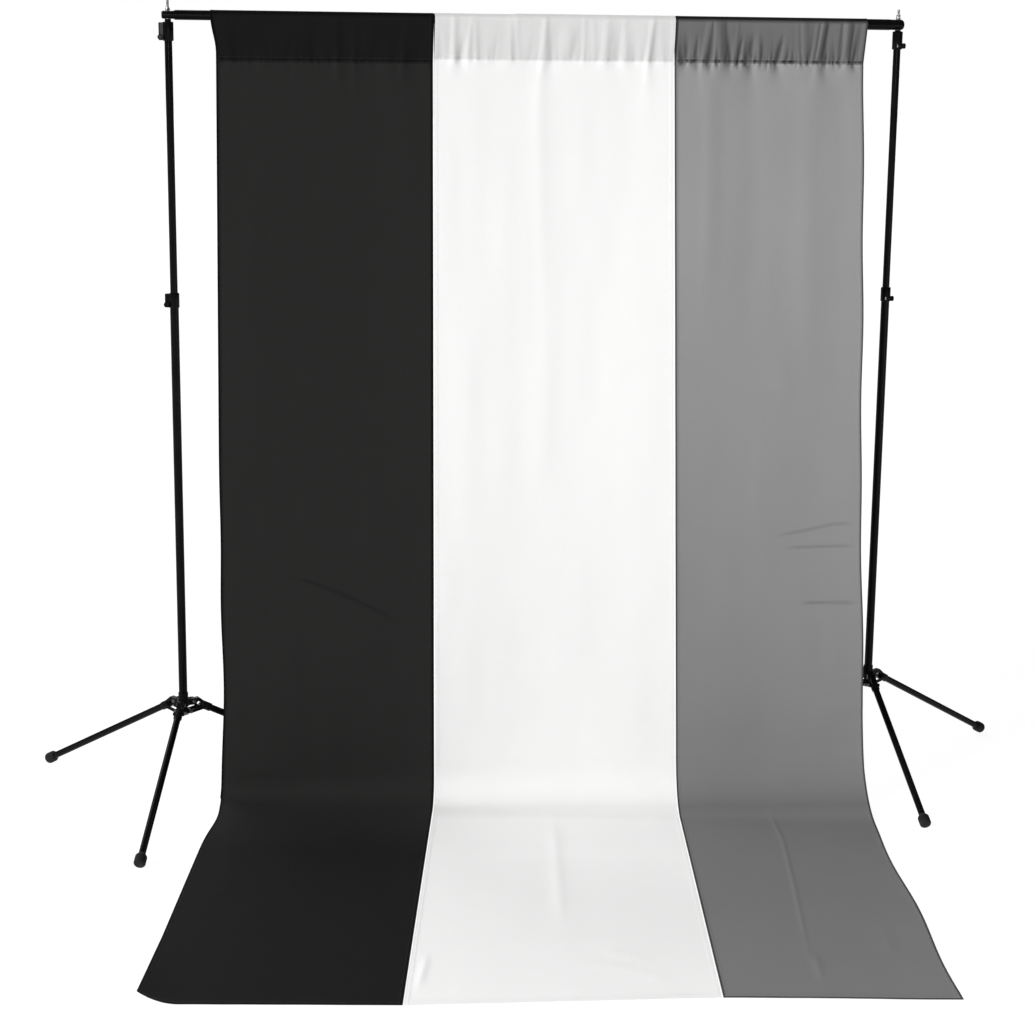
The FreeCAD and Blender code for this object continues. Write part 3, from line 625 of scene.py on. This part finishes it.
def stand_out(name, across, below_seam, behind):
    """How far the hanging cloth stands out near the seam and down its folds."""
    out = np.zeros(across.shape)
    above = np.maximum(-below_seam, 0)
    under = np.maximum(below_seam, 0)
    pocket = POCKET_DROP[name]
    bar_touch = np.where(behind, 0.84 * pocket, pocket + 0.001)
    near_bar = 1 - smoothstep(above, bar_touch, bar_touch + 0.015)
    for place, rise, width, down, up in GATHERS[name]:
        fade = np.exp(-under / down) * np.exp(-above / up)
        spread = width * (1 + 1.1 * under / down)
        lean = 0.1 * above * math.sin(place * 71)
        out += rise * bell(across + lean, place, spread) * fade * near_bar
    out = np.where(out < 0, out * (1 - smoothstep(above, 0.2 * pocket, 0.9 * pocket)), out)
    for place, rise, width, length in FOLDS[name]:
        fade = smoothstep(under, 0, 0.1) * (1 - smoothstep(under, 0.55 * length, 1.25 * length))
        drift = 0.012 * np.sin(under * 3.1 + place * 20)
        out += rise * bell(across, place + drift, width * (1 + under * 0.5)) * fade
    return out


def ripple(across, along, seed):
    """The slow unevenness of cloth that hangs or lies freely."""
    wide = soft_noise(across, along, 0.13, 0.42, seed)
    fine = soft_noise(across, along, 0.045, 0.16, seed + 1)
    return 0.7 * wide + 0.3 * fine


def lines_up(lines, a, b):
    """How far creases along bent lines stand out, tapering to nothing at both ends."""
    rise = np.zeros(a.shape)
    for points, height, width in lines:
        gap, along = distance_to_line(a, b, points)
        taper = smoothstep(along, 0, 0.25) * (1 - smoothstep(along, 0.75, 1))
        rise += height * bell(gap, 0, width) * taper
    return rise


# How far the hung cloth strays to the right: at the left edge, both joins and the right edge.
SWAY_SHARES = (0, PANEL_WIDTH["black"] / SWEEP_WIDTH, 1 - PANEL_WIDTH["gray"] / SWEEP_WIDTH, 1)
SWAY_AT_BAR = (0.012, 0.015, 0.0, 0.01)
SWAY_AT_BEND = (-0.01, 0.008, -0.002, -0.009)
SWAY_AT_FRONT = (-0.019, -0.008, 0.01, 0.01)
LONGER_AT_FRONT = (0.02, 0.022, -0.014, -0.01)


def sway(share, height, from_bend):
    """The whole sweep's sideways stray, alike on both sides of a join."""
    at_bar, at_bend, at_front = (
        np.interp(share, SWAY_SHARES, row) for row in (SWAY_AT_BAR, SWAY_AT_BEND, SWAY_AT_FRONT)
    )
    hanging = at_bend + (at_bar - at_bend) * np.clip(height / BAR.z, 0, 1)
    forward = np.clip(from_bend / FLOOR_LENGTH[0], 0, 1)
    return hanging + (at_front - at_bend) * forward


def longer(share, from_bend):
    """How much further forward the sheet reaches than an even front edge."""
    forward = np.clip(from_bend / FLOOR_LENGTH[0], 0, 1)
    return np.interp(share, SWAY_SHARES, LONGER_AT_FRONT) * forward**2


def side_drift(name, across, height, from_bend):
    """Sideways stray of a panel: the whole sweep's, and more at a free edge."""
    drift = sway((PANEL_LEFT[name] - SWEEP_LEFT + across) / SWEEP_WIDTH, height, from_bend)
    hanging = from_bend <= 0
    if name == "black":
        near = np.clip(1 - across / 0.16, 0, 1) ** 2
        wave = 0.008 * bell(height, 0.27, 0.16) + 0.003 * bell(height, 0.62, 0.12)
        flare = -0.012 * smoothstep(height, BAR.z - 0.08, BAR.z)
        drift += near * np.where(hanging, wave + flare + 0.004, 0.004 + 0.01 * bell(from_bend, 0.12, 0.1))
    if name == "gray":
        near = np.clip(1 - (PANEL_WIDTH[name] - across) / 0.16, 0, 1) ** 2
        wave = 0.0015 * np.sin(height * 17.0 + 1.0) - 0.006 * bell(height, 0.75, 0.35)
        drift += near * np.where(hanging, wave, 0.004 * np.sin(from_bend * 11.0))
    return drift


def curl_corner(grid, across, from_end):
    """The black panel's front corner is drawn back and curls up."""
    near = np.clip(1 - across / 0.085, 0, 1) ** 2 * np.clip(1 - from_end / 0.3, 0, 1)
    return grid + near[..., None] * np.array([0.006, 0.034, 0.01])


HANGING_RIPPLE = 0.0022
LYING_RIPPLE = 0.001
POCKET_PUFF = 0.0016


def hung_grid(name):
    """One panel's middle surface, its flat places across, down and from the front edge, and its hollows."""
    columns = columns_across(PANEL_WIDTH[name])
    x = PANEL_LEFT[name] + columns
    pocket = POCKET_DROP[name]
    grid = np.stack(pocket_rows(x, pocket) + sweep_rows(x, pocket))
    across = np.broadcast_to(columns, grid.shape[:2])
    steps = np.linalg.norm(np.diff(grid, axis=0), axis=-1)
    down = np.concatenate([np.zeros((1, COLUMNS)), np.cumsum(steps, axis=0)])
    below_seam = down - down[SEAM_ROW]
    from_bend = down - down[BEND_ROW] - BEND[0]
    from_end = down[-1] - down
    height = grid[..., 2].copy()
    row = np.indices(across.shape)[0]

    front = row >= ALLOWANCE_ROWS + POCKET_BACK_ROWS + POCKET_TOP_ROWS
    behind = row < ALLOWANCE_ROWS + POCKET_BACK_ROWS
    seam_distance = np.where(behind, -np.abs(down - down[ALLOWANCE_ROWS]), below_seam)
    over_bar = ~front & ~behind
    seed = 40 + PANELS.index(name)
    hangs = 1 - smoothstep(row, BEND_ROW - 10, FLOOR_ROW)
    lies = smoothstep(row, BEND_ROW + 4, FLOOR_ROW + 5)

    out = stand_out(name, across, seam_distance, behind) * hangs
    curve = np.gradient(np.gradient(out, columns, axis=1), columns, axis=1)
    creases = lines_up(CREASES[name], across, height) * hangs * front
    # painted shade in the hollows between gathers and in creases
    hollow = np.clip(np.maximum(curve / HOLLOW_CURVE, -creases / CREASE_DEPTH), 0, 1) * ~behind
    slack = HANGING_RIPPLE * ripple(across, height, seed) * smoothstep(below_seam, 0, 0.25)
    out += slack * hangs * front + creases
    belly = np.sin(np.pi * np.clip(-seam_distance / pocket, 0, 1))
    puff = POCKET_PUFF * (1 + soft_noise(across, height, 0.03, 0.5, seed + 7)) * belly * ~over_bar
    grid[..., 1] -= out
    grid[..., 1] += np.where(behind, puff, -puff)

    up = LYING_RIPPLE * (1 + ripple(across, from_bend, seed + 20))
    grid[..., 2] += (up + lines_up(WRINKLES[name], across, from_bend)) * lies
    grid[..., 0] += side_drift(name, across, height, from_bend)
    share = (PANEL_LEFT[name] - SWEEP_LEFT + across) / SWEEP_WIDTH
    grid += longer(share, from_bend)[..., None] * FLOOR_WAY
    if name == "black":
        grid = curl_corner(grid, across, from_end)
    return grid, across, down, from_end, hollow


def write_attribute(piece, name, values, kind="FLOAT", field="value"):
    """The same values for the sheet's front and back grids."""
    data = np.concatenate([values.ravel(), values.ravel()])
    piece.data.attributes.new(name, kind, "POINT").data.foreach_set(field, data)


def backdrop(name, material):
    """One panel as a closed, hemmed sheet: the piece, its front face's grid and normals."""
    grid, across, down, from_end, hollow = hung_grid(name)
    rows, columns = across.shape
    inward = np.minimum(np.minimum(across, PANEL_WIDTH[name] - across), from_end)
    hem = 1 - smoothstep(inward, HEM - 0.0002, HEM + 0.001)
    normal = grid_normals(grid)
    half = (CLOTH + (HEM_CLOTH - CLOTH) * hem)[..., None] / 2
    outer = grid + normal * half
    inner = grid - normal * half
    vertices = np.concatenate([outer.reshape(-1, 3), inner.reshape(-1, 3)])
    quads = grid_faces(rows, columns)
    faces = np.concatenate([quads[:, ::-1], quads + rows * columns, rim_faces(rows, columns)])
    piece = mesh_object(f"{name}_cloth", vertices, faces, material)
    row = np.indices(across.shape)[0]
    # painted shade where the cloth is doubled: the pocket, and the hems by HEM_SHADE
    doubled_shade = np.maximum(row <= SEAM_ROW, hem * HEM_SHADE[name])
    bound = (1 - smoothstep(inward, EDGE_WIDTH[name], EDGE_WIDTH[name] + 0.0016)) * EDGE_SHADE[name]
    # painted shade of the puckers along the seam, broken into dots
    pucker_shade = 0.35 + 0.65 * smoothstep(soft_noise(across, down, 0.0045, 1.0, 90), -0.1, 0.4)
    seam = np.where((row == SEAM_ROW) | (row == SEAM_ROW - 1), SEAM_SHADE[name] * pucker_shade, 0)
    # painted shade where the cloth lies over the dark bar
    shade_over_bar = smoothstep((grid[..., 2] - BAR.z) / OUTER_RADIUS, 0.12, 0.38)
    # dark: painted shade over the bar, at the seam and in hollows, and the bound edges' dark colour
    dark = np.maximum.reduce([shade_over_bar, bound, seam, hollow * HOLLOW_SHADE[name]])
    write_attribute(piece, "flat_m", np.stack([across, down, 0 * down], -1), "FLOAT_VECTOR", "vector")
    write_attribute(piece, "doubled_shade", doubled_shade)
    write_attribute(piece, "dark", dark)
    return piece, outer, normal


# ---- stitching
STITCH_LENGTH = 0.0032
STITCH_PITCH = 0.0046
THREAD_RADIUS = 0.0003
STITCH_SIDES = 6
STITCH_PROFILE = ((-0.5, 0.25), (-0.36, 0.9), (0.0, 1.0), (0.36, 0.9), (0.5, 0.25))


def stitches_along(line, normals):
    """Short threads laid end to end along a line on the cloth."""
    steps = np.linalg.norm(np.diff(line, axis=0), axis=-1)
    reach = np.concatenate([[0], np.cumsum(steps)])
    count = int(reach[-1] / STITCH_PITCH) - 1
    middles = (np.arange(count) + 1) * STITCH_PITCH

    def at(places, values):
        return np.stack([np.interp(places, reach, values[:, k]) for k in range(3)], -1)

    along = unit(at(middles + 0.001, line) - at(middles, line))
    side = unit(np.cross(along, at(middles, normals)))
    up = np.cross(side, along)
    where = at(middles, line) + up * THREAD_RADIUS * 0.35
    rings = []
    for offset, share in STITCH_PROFILE:
        for k in range(STITCH_SIDES):
            angle = 2 * math.pi * k / STITCH_SIDES
            spoke = side * math.cos(angle) + up * math.sin(angle)
            rings.append(where + along * offset * STITCH_LENGTH + spoke * THREAD_RADIUS * share)
    return np.stack(rings, 1)


def ring_faces(rings, sides):
    """The skin between rings of vertices stored one after the other."""
    index = np.arange(rings * sides).reshape(rings, sides)
    following = np.roll(index, -1, axis=1)
    return np.stack([index[:-1], following[:-1], following[1:], index[1:]], -1).reshape(-1, 4)


def stitch_faces(count):
    rings = len(STITCH_PROFILE)
    one = ring_faces(rings, STITCH_SIDES)
    per_stitch = rings * STITCH_SIDES
    return np.concatenate([one + per_stitch * k for k in range(count)])


def stitching(name, outer, normal, material):
    """The pocket's double seam and the row along each hem."""
    hem = HEM_COLUMNS.index(HEM_STITCH)
    below = slice(SEAM_ROW + 2, None)
    lines = (SEAM_ROW, SEAM_ROW - 2, (below, hem), (below, -1 - hem), -1 - hem)
    threads = np.concatenate([stitches_along(outer[line], normal[line]) for line in lines])
    return mesh_object(f"{name}_stitching", threads.reshape(-1, 3), stitch_faces(len(threads)), material)


def hang(piece):
    """Bakes the piece's placement into its mesh."""
    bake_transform(piece)


def put_up_backdrops():
    for name in PANELS:
        look = CLOTH_LOOKS[name]
        cloth, outer, normal = backdrop(name, cloth_material(f"cloth_{name}", **look))
        thread = thread_material(f"thread_{name}", THREAD_LEVEL[name], look["warmth"])
        seams = stitching(name, outer, normal, thread)
        for piece in (cloth, seams):
            hang(piece)
        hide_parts(f"backdrop_{name}")


# ---- hardware pieces
SHARP_ANGLE = math.radians(34)


def revolve(name, start, way, profile, material, sides=64, shape=None):
    """A turned solid from its (along, radius) profile. shape gives the radius at each angle."""
    way = np.array(way, float)
    side = np.array(Vector(way).orthogonal().normalized())
    up = np.cross(way, side)
    angles = np.arange(sides) * 2 * math.pi / sides
    spokes = np.outer(np.cos(angles), side) + np.outer(np.sin(angles), up)
    rings = []
    for along, radius in profile:
        reach = np.full(sides, radius) if shape is None else shape(angles, along, radius)
        rings.append(np.array(start) + way * along + spokes * reach[:, None])
    ends = [np.array(start) + way * profile[k][0] for k in (0, -1)]
    vertices = np.concatenate([np.concatenate(rings), ends])
    faces = list(ring_faces(len(profile), sides))
    end = len(profile) * sides
    for k in range(sides):
        following = (k + 1) % sides
        faces.append((following, k, end))
        faces.append((end - sides + k, end - sides + following, end + 1))
    piece = mesh_object(name, vertices, faces, material)
    piece.data.set_sharp_from_angle(angle=SHARP_ANGLE)
    return piece


def fit(piece, body, node=None):
    """Puts a piece on its body and, if given, hides the CAD node that it stands in for."""
    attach(piece, body)
    if node:
        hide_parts(node)


def rounded(along, radius, turn, steps=5):
    """Profile points round a turned solid's far edge."""
    points = []
    for angle in np.linspace(0, math.pi / 2, steps + 1):
        points.append((along - turn * (1 - math.sin(angle)), radius - turn * (1 - math.cos(angle))))
    return points


KNOB_LENGTH = 0.0085
KNOB_KNURLS = 15
KNURL_DEPTH = 0.0007
SCREW_RADIUS = 0.002
SCREW_PITCH = 0.0008
SCREW_DEPTH = 0.0003


def knob(side, part, plastic, steel):
    """A knurled thumb knob on its own screw."""
    node = f"{side}_{part}_knob"
    body = node.replace("_clamp", "")
    start, way = HINGES[f"{body}_turn"]
    tail, end = extent(node, start, way)
    face = end - KNOB_LENGTH
    radius = girth(node, start, way, beyond=face)

    def knurled(angles, along, out):
        inside = smoothstep(along, 0.0012, 0.0022) * smoothstep(KNOB_LENGTH - along, 0, 0.002)
        return out - KNURL_DEPTH * inside * (0.5 - 0.5 * np.cos(KNOB_KNURLS * angles)) ** 2

    profile = [(0, radius * 0.55), (0, radius * 0.74), (0.0009, radius * 0.76), (0.0016, radius * 0.94)]
    profile += [(0.0022 + 0.0007 * k, radius) for k in range(6)]
    profile += rounded(KNOB_LENGTH, radius, 0.0012)
    dimple = KNOB_LENGTH - 0.0006
    profile += [(KNOB_LENGTH, radius * 0.62), (dimple, radius * 0.52), (dimple, 0.0002)]
    sides = KNOB_KNURLS * 8
    head = revolve(f"{node}_head", start + way * face, way, profile, plastic, sides, knurled)
    fit(head, body, node)
    low = tail + 0.0005
    rows = int((face - low) / SCREW_PITCH * 6) + 1
    profile = [(tail, SCREW_RADIUS * 0.7)]
    profile += [(place, SCREW_RADIUS) for place in np.linspace(low, face, rows)]
    screw = revolve(f"{node}_screw", start, way, profile, steel, 32, threaded(SCREW_PITCH, SCREW_DEPTH))
    fit(screw, body)


def threaded(pitch, depth):
    """A helical thread's radius at each angle and place along its axis."""

    def shape(angles, along, radius):
        turn = (along / pitch - angles / (2 * math.pi)) % 1.0
        ridge = 1 - np.abs(2 * turn - 1)
        return radius - depth * (1 - smoothstep(ridge, 0.15, 0.85))

    return shape


THREAD_PITCH = 0.00127
THREAD_DEPTH = 0.00055
STUD_NECK = (0.0108, 0.0122)  # above the crossbar's plug
STUD_NECK_RADIUS = 0.0025
STUD_TIP_RADIUS = 0.003175
STUD_SHANK_RADIUS = 0.004
PLUG = {"left": "crossbar_inner_plug", "right": "crossbar_outer_plug"}


def stud(side, casting, steel):
    """A turned stud: painted shoulder, shank through the plug, nut thread, neck and tip thread."""
    start = STAND[side]
    low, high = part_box(f"{side}_stud")
    plug_low, plug_high = (corner.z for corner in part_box(PLUG[side]))
    shoulder = size(f"{side}_riser_2_tube").x / 2
    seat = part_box(f"{side}_riser_2_tube")[1].z
    neck_low, neck_high = (plug_high + rise for rise in STUD_NECK)
    profile = [(low.z, shoulder * 0.8), (seat, shoulder * 0.8)]
    profile += [(seat, shoulder - 0.0004), (seat + 0.0004, shoulder)]
    profile += rounded(plug_low - 0.0003, shoulder, 0.0005, 3)
    base = revolve(f"{side}_stud_shoulder", start, Z, profile, casting, 40)
    profile = [(seat, STUD_SHANK_RADIUS)]
    profile += [(plug_high - 0.001, radius) for radius in (STUD_SHANK_RADIUS, STUD_TIP_RADIUS)]
    step = THREAD_PITCH / 7
    profile += [(place, STUD_TIP_RADIUS) for place in np.arange(plug_high, neck_low, step)]
    profile += [(neck_low, STUD_TIP_RADIUS), (neck_low + 0.0003, STUD_NECK_RADIUS)]
    profile += [(neck_high - 0.0003, STUD_NECK_RADIUS), (neck_high, STUD_TIP_RADIUS)]
    profile += [(place, STUD_TIP_RADIUS) for place in np.arange(neck_high + step, high.z - 0.0009, step)]
    profile += rounded(high.z, STUD_TIP_RADIUS, 0.0008)

    def shape(angles, along, radius):
        if abs(radius - STUD_TIP_RADIUS) > 1e-6 or neck_low - 0.0003 < along < neck_high + 0.0003:
            return np.full(angles.shape, radius)
        return threaded(THREAD_PITCH, THREAD_DEPTH)(angles, along, radius)

    piece = revolve(f"{side}_turned_stud", start, Z, profile, steel, 40, shape)
    fit(piece, f"{side}_riser_2", f"{side}_stud")
    fit(base, f"{side}_riser_2")


def smooth_outline(points):
    """Rounds a closed outline by cutting its corners twice."""
    for _ in range(2):
        pairs = zip(points, points[1:] + points[:1])
        points = [a * near + b * (1 - near) for a, b in pairs for near in (0.75, 0.25)]
    return points


def slab(name, outline, through, material):
    """A plate: a closed outline pushed through by a vector, with rounded edges."""
    count = len(outline)
    near = [point - through / 2 for point in outline]
    far = [point + through / 2 for point in outline]
    faces = [tuple(range(count))[::-1], tuple(range(count, 2 * count))]
    faces += [(k, (k + 1) % count, count + (k + 1) % count, count + k) for k in range(count)]
    piece = mesh_object(name, near + far, faces, material)
    soften(piece, 0.0006, 3)
    return piece


def soften(piece, width, segments):
    bevel = piece.modifiers.new("edges", "BEVEL")
    bevel.width = width
    bevel.segments = segments
    bevel.limit_method = "ANGLE"
    bevel.angle_limit = math.radians(40)


WING_THICKNESS = 0.0024
WING_OUTLINE = (  # out from the stud, up from the nut's foot
    (0.002, 0.0006), (0.007, 0.001), (0.0112, 0.004), (0.0128, 0.0085),
    (0.0108, 0.0108), (0.0078, 0.0098), (0.0052, 0.0062), (0.002, 0.0066),
)
NUT_HEIGHT = 0.007
NUT_RADIUS = 0.0054


def wing_nut(side, steel):
    """A cast wing nut: a domed boss and two curled wings."""
    node = f"{side}_wing_nut"
    start = STAND[side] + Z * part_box(node)[0].z
    profile = [(0.0, STUD_TIP_RADIUS), (0.0, NUT_RADIUS - 0.0004), (0.0004, NUT_RADIUS)]
    profile += [(0.0022, NUT_RADIUS - 0.0001)]
    profile += rounded(NUT_HEIGHT, NUT_RADIUS - 0.001, 0.0012)
    profile += [(NUT_HEIGHT, STUD_TIP_RADIUS)]
    fit(revolve(f"{node}_boss", start, Z, profile, steel, 48), node, node)
    for way, tag in ((1, "back"), (-1, "front")):
        outline = [start + Y * (way * out) + Z * up for out, up in WING_OUTLINE]
        wing = slab(f"{node}_{tag}_wing", smooth_outline(outline), X * WING_THICKNESS, steel)
        fit(wing, node)


FOOT_RIBS = (0.0105, 0.0135, 0.0165, 0.0195)
RIB_DEPTH = 0.0006
RIB_HALF = 0.0009


def foot(side, number, rubber):
    """A ribbed rubber cap, pressed flat where it stands."""
    node = f"{side}_leg_{number}_foot"
    pivot, way = leg_line(side, number)
    near, far = extent(node, pivot, way)
    radius = girth(node, pivot, way)
    tube = girth(f"{side}_leg_{number}_tube", pivot, way)
    profile = [(0.004, tube), (0, tube), (0, tube + 0.001), (0.0006, tube + 0.0016)]
    profile += [(0.005, radius - 0.0009), (0.007, radius - 0.0001)]
    for rib in FOOT_RIBS:
        profile += [(rib - RIB_HALF, radius), (rib - 0.0003, radius - RIB_DEPTH)]
        profile += [(rib + 0.0003, radius - RIB_DEPTH), (rib + RIB_HALF, radius)]
    length = far - near
    profile += rounded(length, radius, 0.006, 8)
    profile += [(length, radius * 0.45), (length - 0.0006, radius * 0.4), (length - 0.0006, 0.0005)]
    piece = revolve(f"{side}_foot_cap_{number}", pivot + way * near, way, profile, rubber)
    for vertex in piece.data.vertices:
        vertex.co.z = max(vertex.co.z, 0.0)
    fit(piece, f"{side}_leg_{number}", node)


def leg_line(side, number):
    """A leg's pivot and the direction of its tube."""
    name = f"{side}_leg_fold" if number == 1 else f"{side}_leg_{number}_fold"
    pivot = HINGES[name][0]
    return pivot, (middle(f"{side}_leg_{number}_tube") - pivot).normalized()


SCREW_TAIL = 0.0015
CLAMP_NUT_HEIGHT = 0.002
CLAMP_NUT_RADIUS = 0.0034


def hexagon(angles, along, radius):
    """A hexagon nut's reach at each angle."""
    return radius / np.cos((angles + math.pi / 6) % (math.pi / 3) - math.pi / 6)


def clamp_nut(side, part, body, steel):
    """The hexagon nut on a clamp screw's tail, against the ear."""
    place, axis = HINGES[f"{side}_{part}_knob_turn"]
    way = -axis
    start = place + way * (extent(f"{side}_{part}_clamp_knob", place, way)[1] - SCREW_TAIL)
    profile = [(0, CLAMP_NUT_RADIUS - 0.0004), (0.0002, CLAMP_NUT_RADIUS)]
    profile += [(CLAMP_NUT_HEIGHT - 0.0004, CLAMP_NUT_RADIUS)]
    profile += [(CLAMP_NUT_HEIGHT, radius) for radius in (CLAMP_NUT_RADIUS - 0.0005, SCREW_RADIUS)]
    fit(revolve(f"{side}_{part}_clamp_nut", start, way, profile, steel, 48, hexagon), body)


def make_hardware(plastic, casting, rubber, steel):
    for side in SIDES:
        for part in ("column_clamp", "riser_1_clamp", "crown"):
            knob(side, part, plastic, steel)
        clamp_nut(side, "column", "root" if side == "right" else "left_base", steel)
        clamp_nut(side, "riser_1", f"{side}_riser_1", steel)
        stud(side, casting, steel)
        wing_nut(side, steel)
        for number in (1, 2, 3):
            foot(side, number, rubber)


# ---- hardware finishes
def finish_node(node, material, edge=0.0, shadow=True):
    piece = frame["nodes"][node]
    piece.visible_shadow = shadow
    piece.data.materials.clear()
    piece.data.materials.append(material)
    if edge:
        weld = piece.modifiers.new("joined", "WELD")
        weld.merge_threshold = 0.00001
        soften(piece, edge, 2)


def finish_hardware():
    """Finishes for the CAD parts. The stands' bases throw no shadow on the cloth."""
    upright = painted_tube("tube_upright", Z)
    level = painted_tube("tube_level", X)
    casting = painted_casting()
    plastic = moulded_plastic()
    rubber = dusty_rubber()
    steel = plated_steel("steel", 0.46, 0.3)
    rivet = plated_steel("rivet", 0.16, 0.07)
    for part in ("outer", "middle", "inner"):
        finish_node(f"crossbar_{part}_tube", level)
    for part in ("outer", "inner"):
        finish_node(f"crossbar_{part}_plug", plastic)
    for side in SIDES:
        for part in ("column_tube", "riser_1_tube", "riser_2_tube"):
            finish_node(f"{side}_{part}", upright)
        for part in ("column_clamp", "riser_1_clamp"):
            finish_node(f"{side}_{part}", plastic, 0.0005)
        for part in ("crown", "brace_collar"):
            finish_node(f"{side}_{part}", casting, 0.0005, shadow=False)
        for part in ("crown_rivets", "brace_collar_rivets"):
            finish_node(f"{side}_{part}", rivet)
        for number in (1, 2, 3):
            leg_paint = painted_tube(f"{side}_leg_{number}_paint", leg_line(side, number)[1])
            finish_node(f"{side}_leg_{number}_tube", leg_paint, shadow=False)
            finish_node(f"{side}_leg_{number}_yoke", casting, 0.0005, shadow=False)
            finish_node(f"{side}_brace_{number}", casting, 0.0004, shadow=False)
    make_hardware(plastic, casting, rubber, steel)


# ---- stage, light and camera
FLOOR_GLOW = 0.93
FLOOR_RADIUS = 60
WHITE_LIGHT = 0.1  # how strongly the surroundings light the object


def floor():
    """A pale floor lit from below, so that it runs into the white surroundings."""
    shader = Shader("floor")
    speck = shader.noise(3, 2)
    shader.set(
        Base_Color=shader.mix(speck, grey(0.12), grey(0.13)),
        Roughness=0.85,
        Specular_IOR_Level=0.1,
        Emission_Color=grey(1.0),
        Emission_Strength=FLOOR_GLOW,
    )
    place = (0, 0, -0.0006)
    bpy.ops.mesh.primitive_circle_add(vertices=96, radius=FLOOR_RADIUS, fill_type="NGON", location=place)
    disc = bpy.context.active_object
    disc.name = "studio_floor"
    disc.data.materials.append(shader.material)


def surroundings():
    """White all round, but weak as a light, so that the lamps model the form."""
    world = bpy.data.worlds.new("studio")
    world.use_nodes = True
    tree = world.node_tree
    seen = tree.nodes.new("ShaderNodeLightPath")
    strength = tree.nodes.new("ShaderNodeMapRange")
    strength.inputs["To Min"].default_value = WHITE_LIGHT
    strength.inputs["To Max"].default_value = 1.0
    tree.links.new(seen.outputs["Is Camera Ray"], strength.inputs["Value"])
    tree.links.new(strength.outputs["Result"], tree.nodes["Background"].inputs["Strength"])
    tree.nodes["Background"].inputs["Color"].default_value = grey(1.0)
    bpy.context.scene.world = world


def put_light(name, data, way, place=(0, 0, 0)):
    light = bpy.data.objects.new(name, data)
    light.location = place
    light.rotation_euler = Vector(way).to_track_quat("-Z", "Y").to_euler()
    bpy.context.scene.collection.objects.link(light)


def lamp(name, way, strength, softness):
    """A distant lamp shining along a direction, soft by its angle in degrees."""
    data = bpy.data.lights.new(name, "SUN")
    data.energy = strength
    data.angle = math.radians(softness)
    put_light(name, data, way)


def softbox(name, place, target, power, width, height):
    data = bpy.data.lights.new(name, "AREA")
    data.shape = "RECTANGLE"
    data.size = width
    data.size_y = height
    data.energy = power
    start = ORIGIN + Vector(place)
    put_light(name, data, ORIGIN + Vector(target) - start, start)


def lights():
    lamp("key", (0.85, 0.45, -0.6), 4.1, 12)
    lamp("back", (0.3, -1.0, -0.8), 1.6, 50)
    softbox("softbox", (2.2, -2.3, 0.7), (0.15, -0.2, 0.4), 8, 0.7, 1.1)
    softbox("catch_light", (-0.85, -5.1, 1.9), (0.0, 0.0, 1.1), 20, 0.25, 0.25)


CAMERA_PLACE = Vector((-0.94, -4.959, 1.745))  # from the floor midway between the stands
CAMERA_YAW, CAMERA_PITCH, CAMERA_ROLL = (math.radians(turn) for turn in (10.19, 12.08, 0.62))
LENS = 74.73
SENSOR = 36.0


def camera():
    data = bpy.data.cameras.new("camera")
    data.lens = LENS
    data.sensor_width = SENSOR
    data.clip_end = 200
    eye = bpy.data.objects.new("camera", data)
    turn = Matrix.Rotation(-CAMERA_YAW, 4, "Z") @ Matrix.Rotation(math.pi / 2 - CAMERA_PITCH, 4, "X")
    turn = turn @ Matrix.Rotation(CAMERA_ROLL, 4, "Z")
    eye.matrix_world = Matrix.Translation(ORIGIN + CAMERA_PLACE) @ turn
    bpy.context.scene.collection.objects.link(eye)
    bpy.context.scene.camera = eye
    bpy.context.scene.view_settings.view_transform = "Standard"


put_up_backdrops()
finish_hardware()
floor()
surroundings()
lights()
camera()
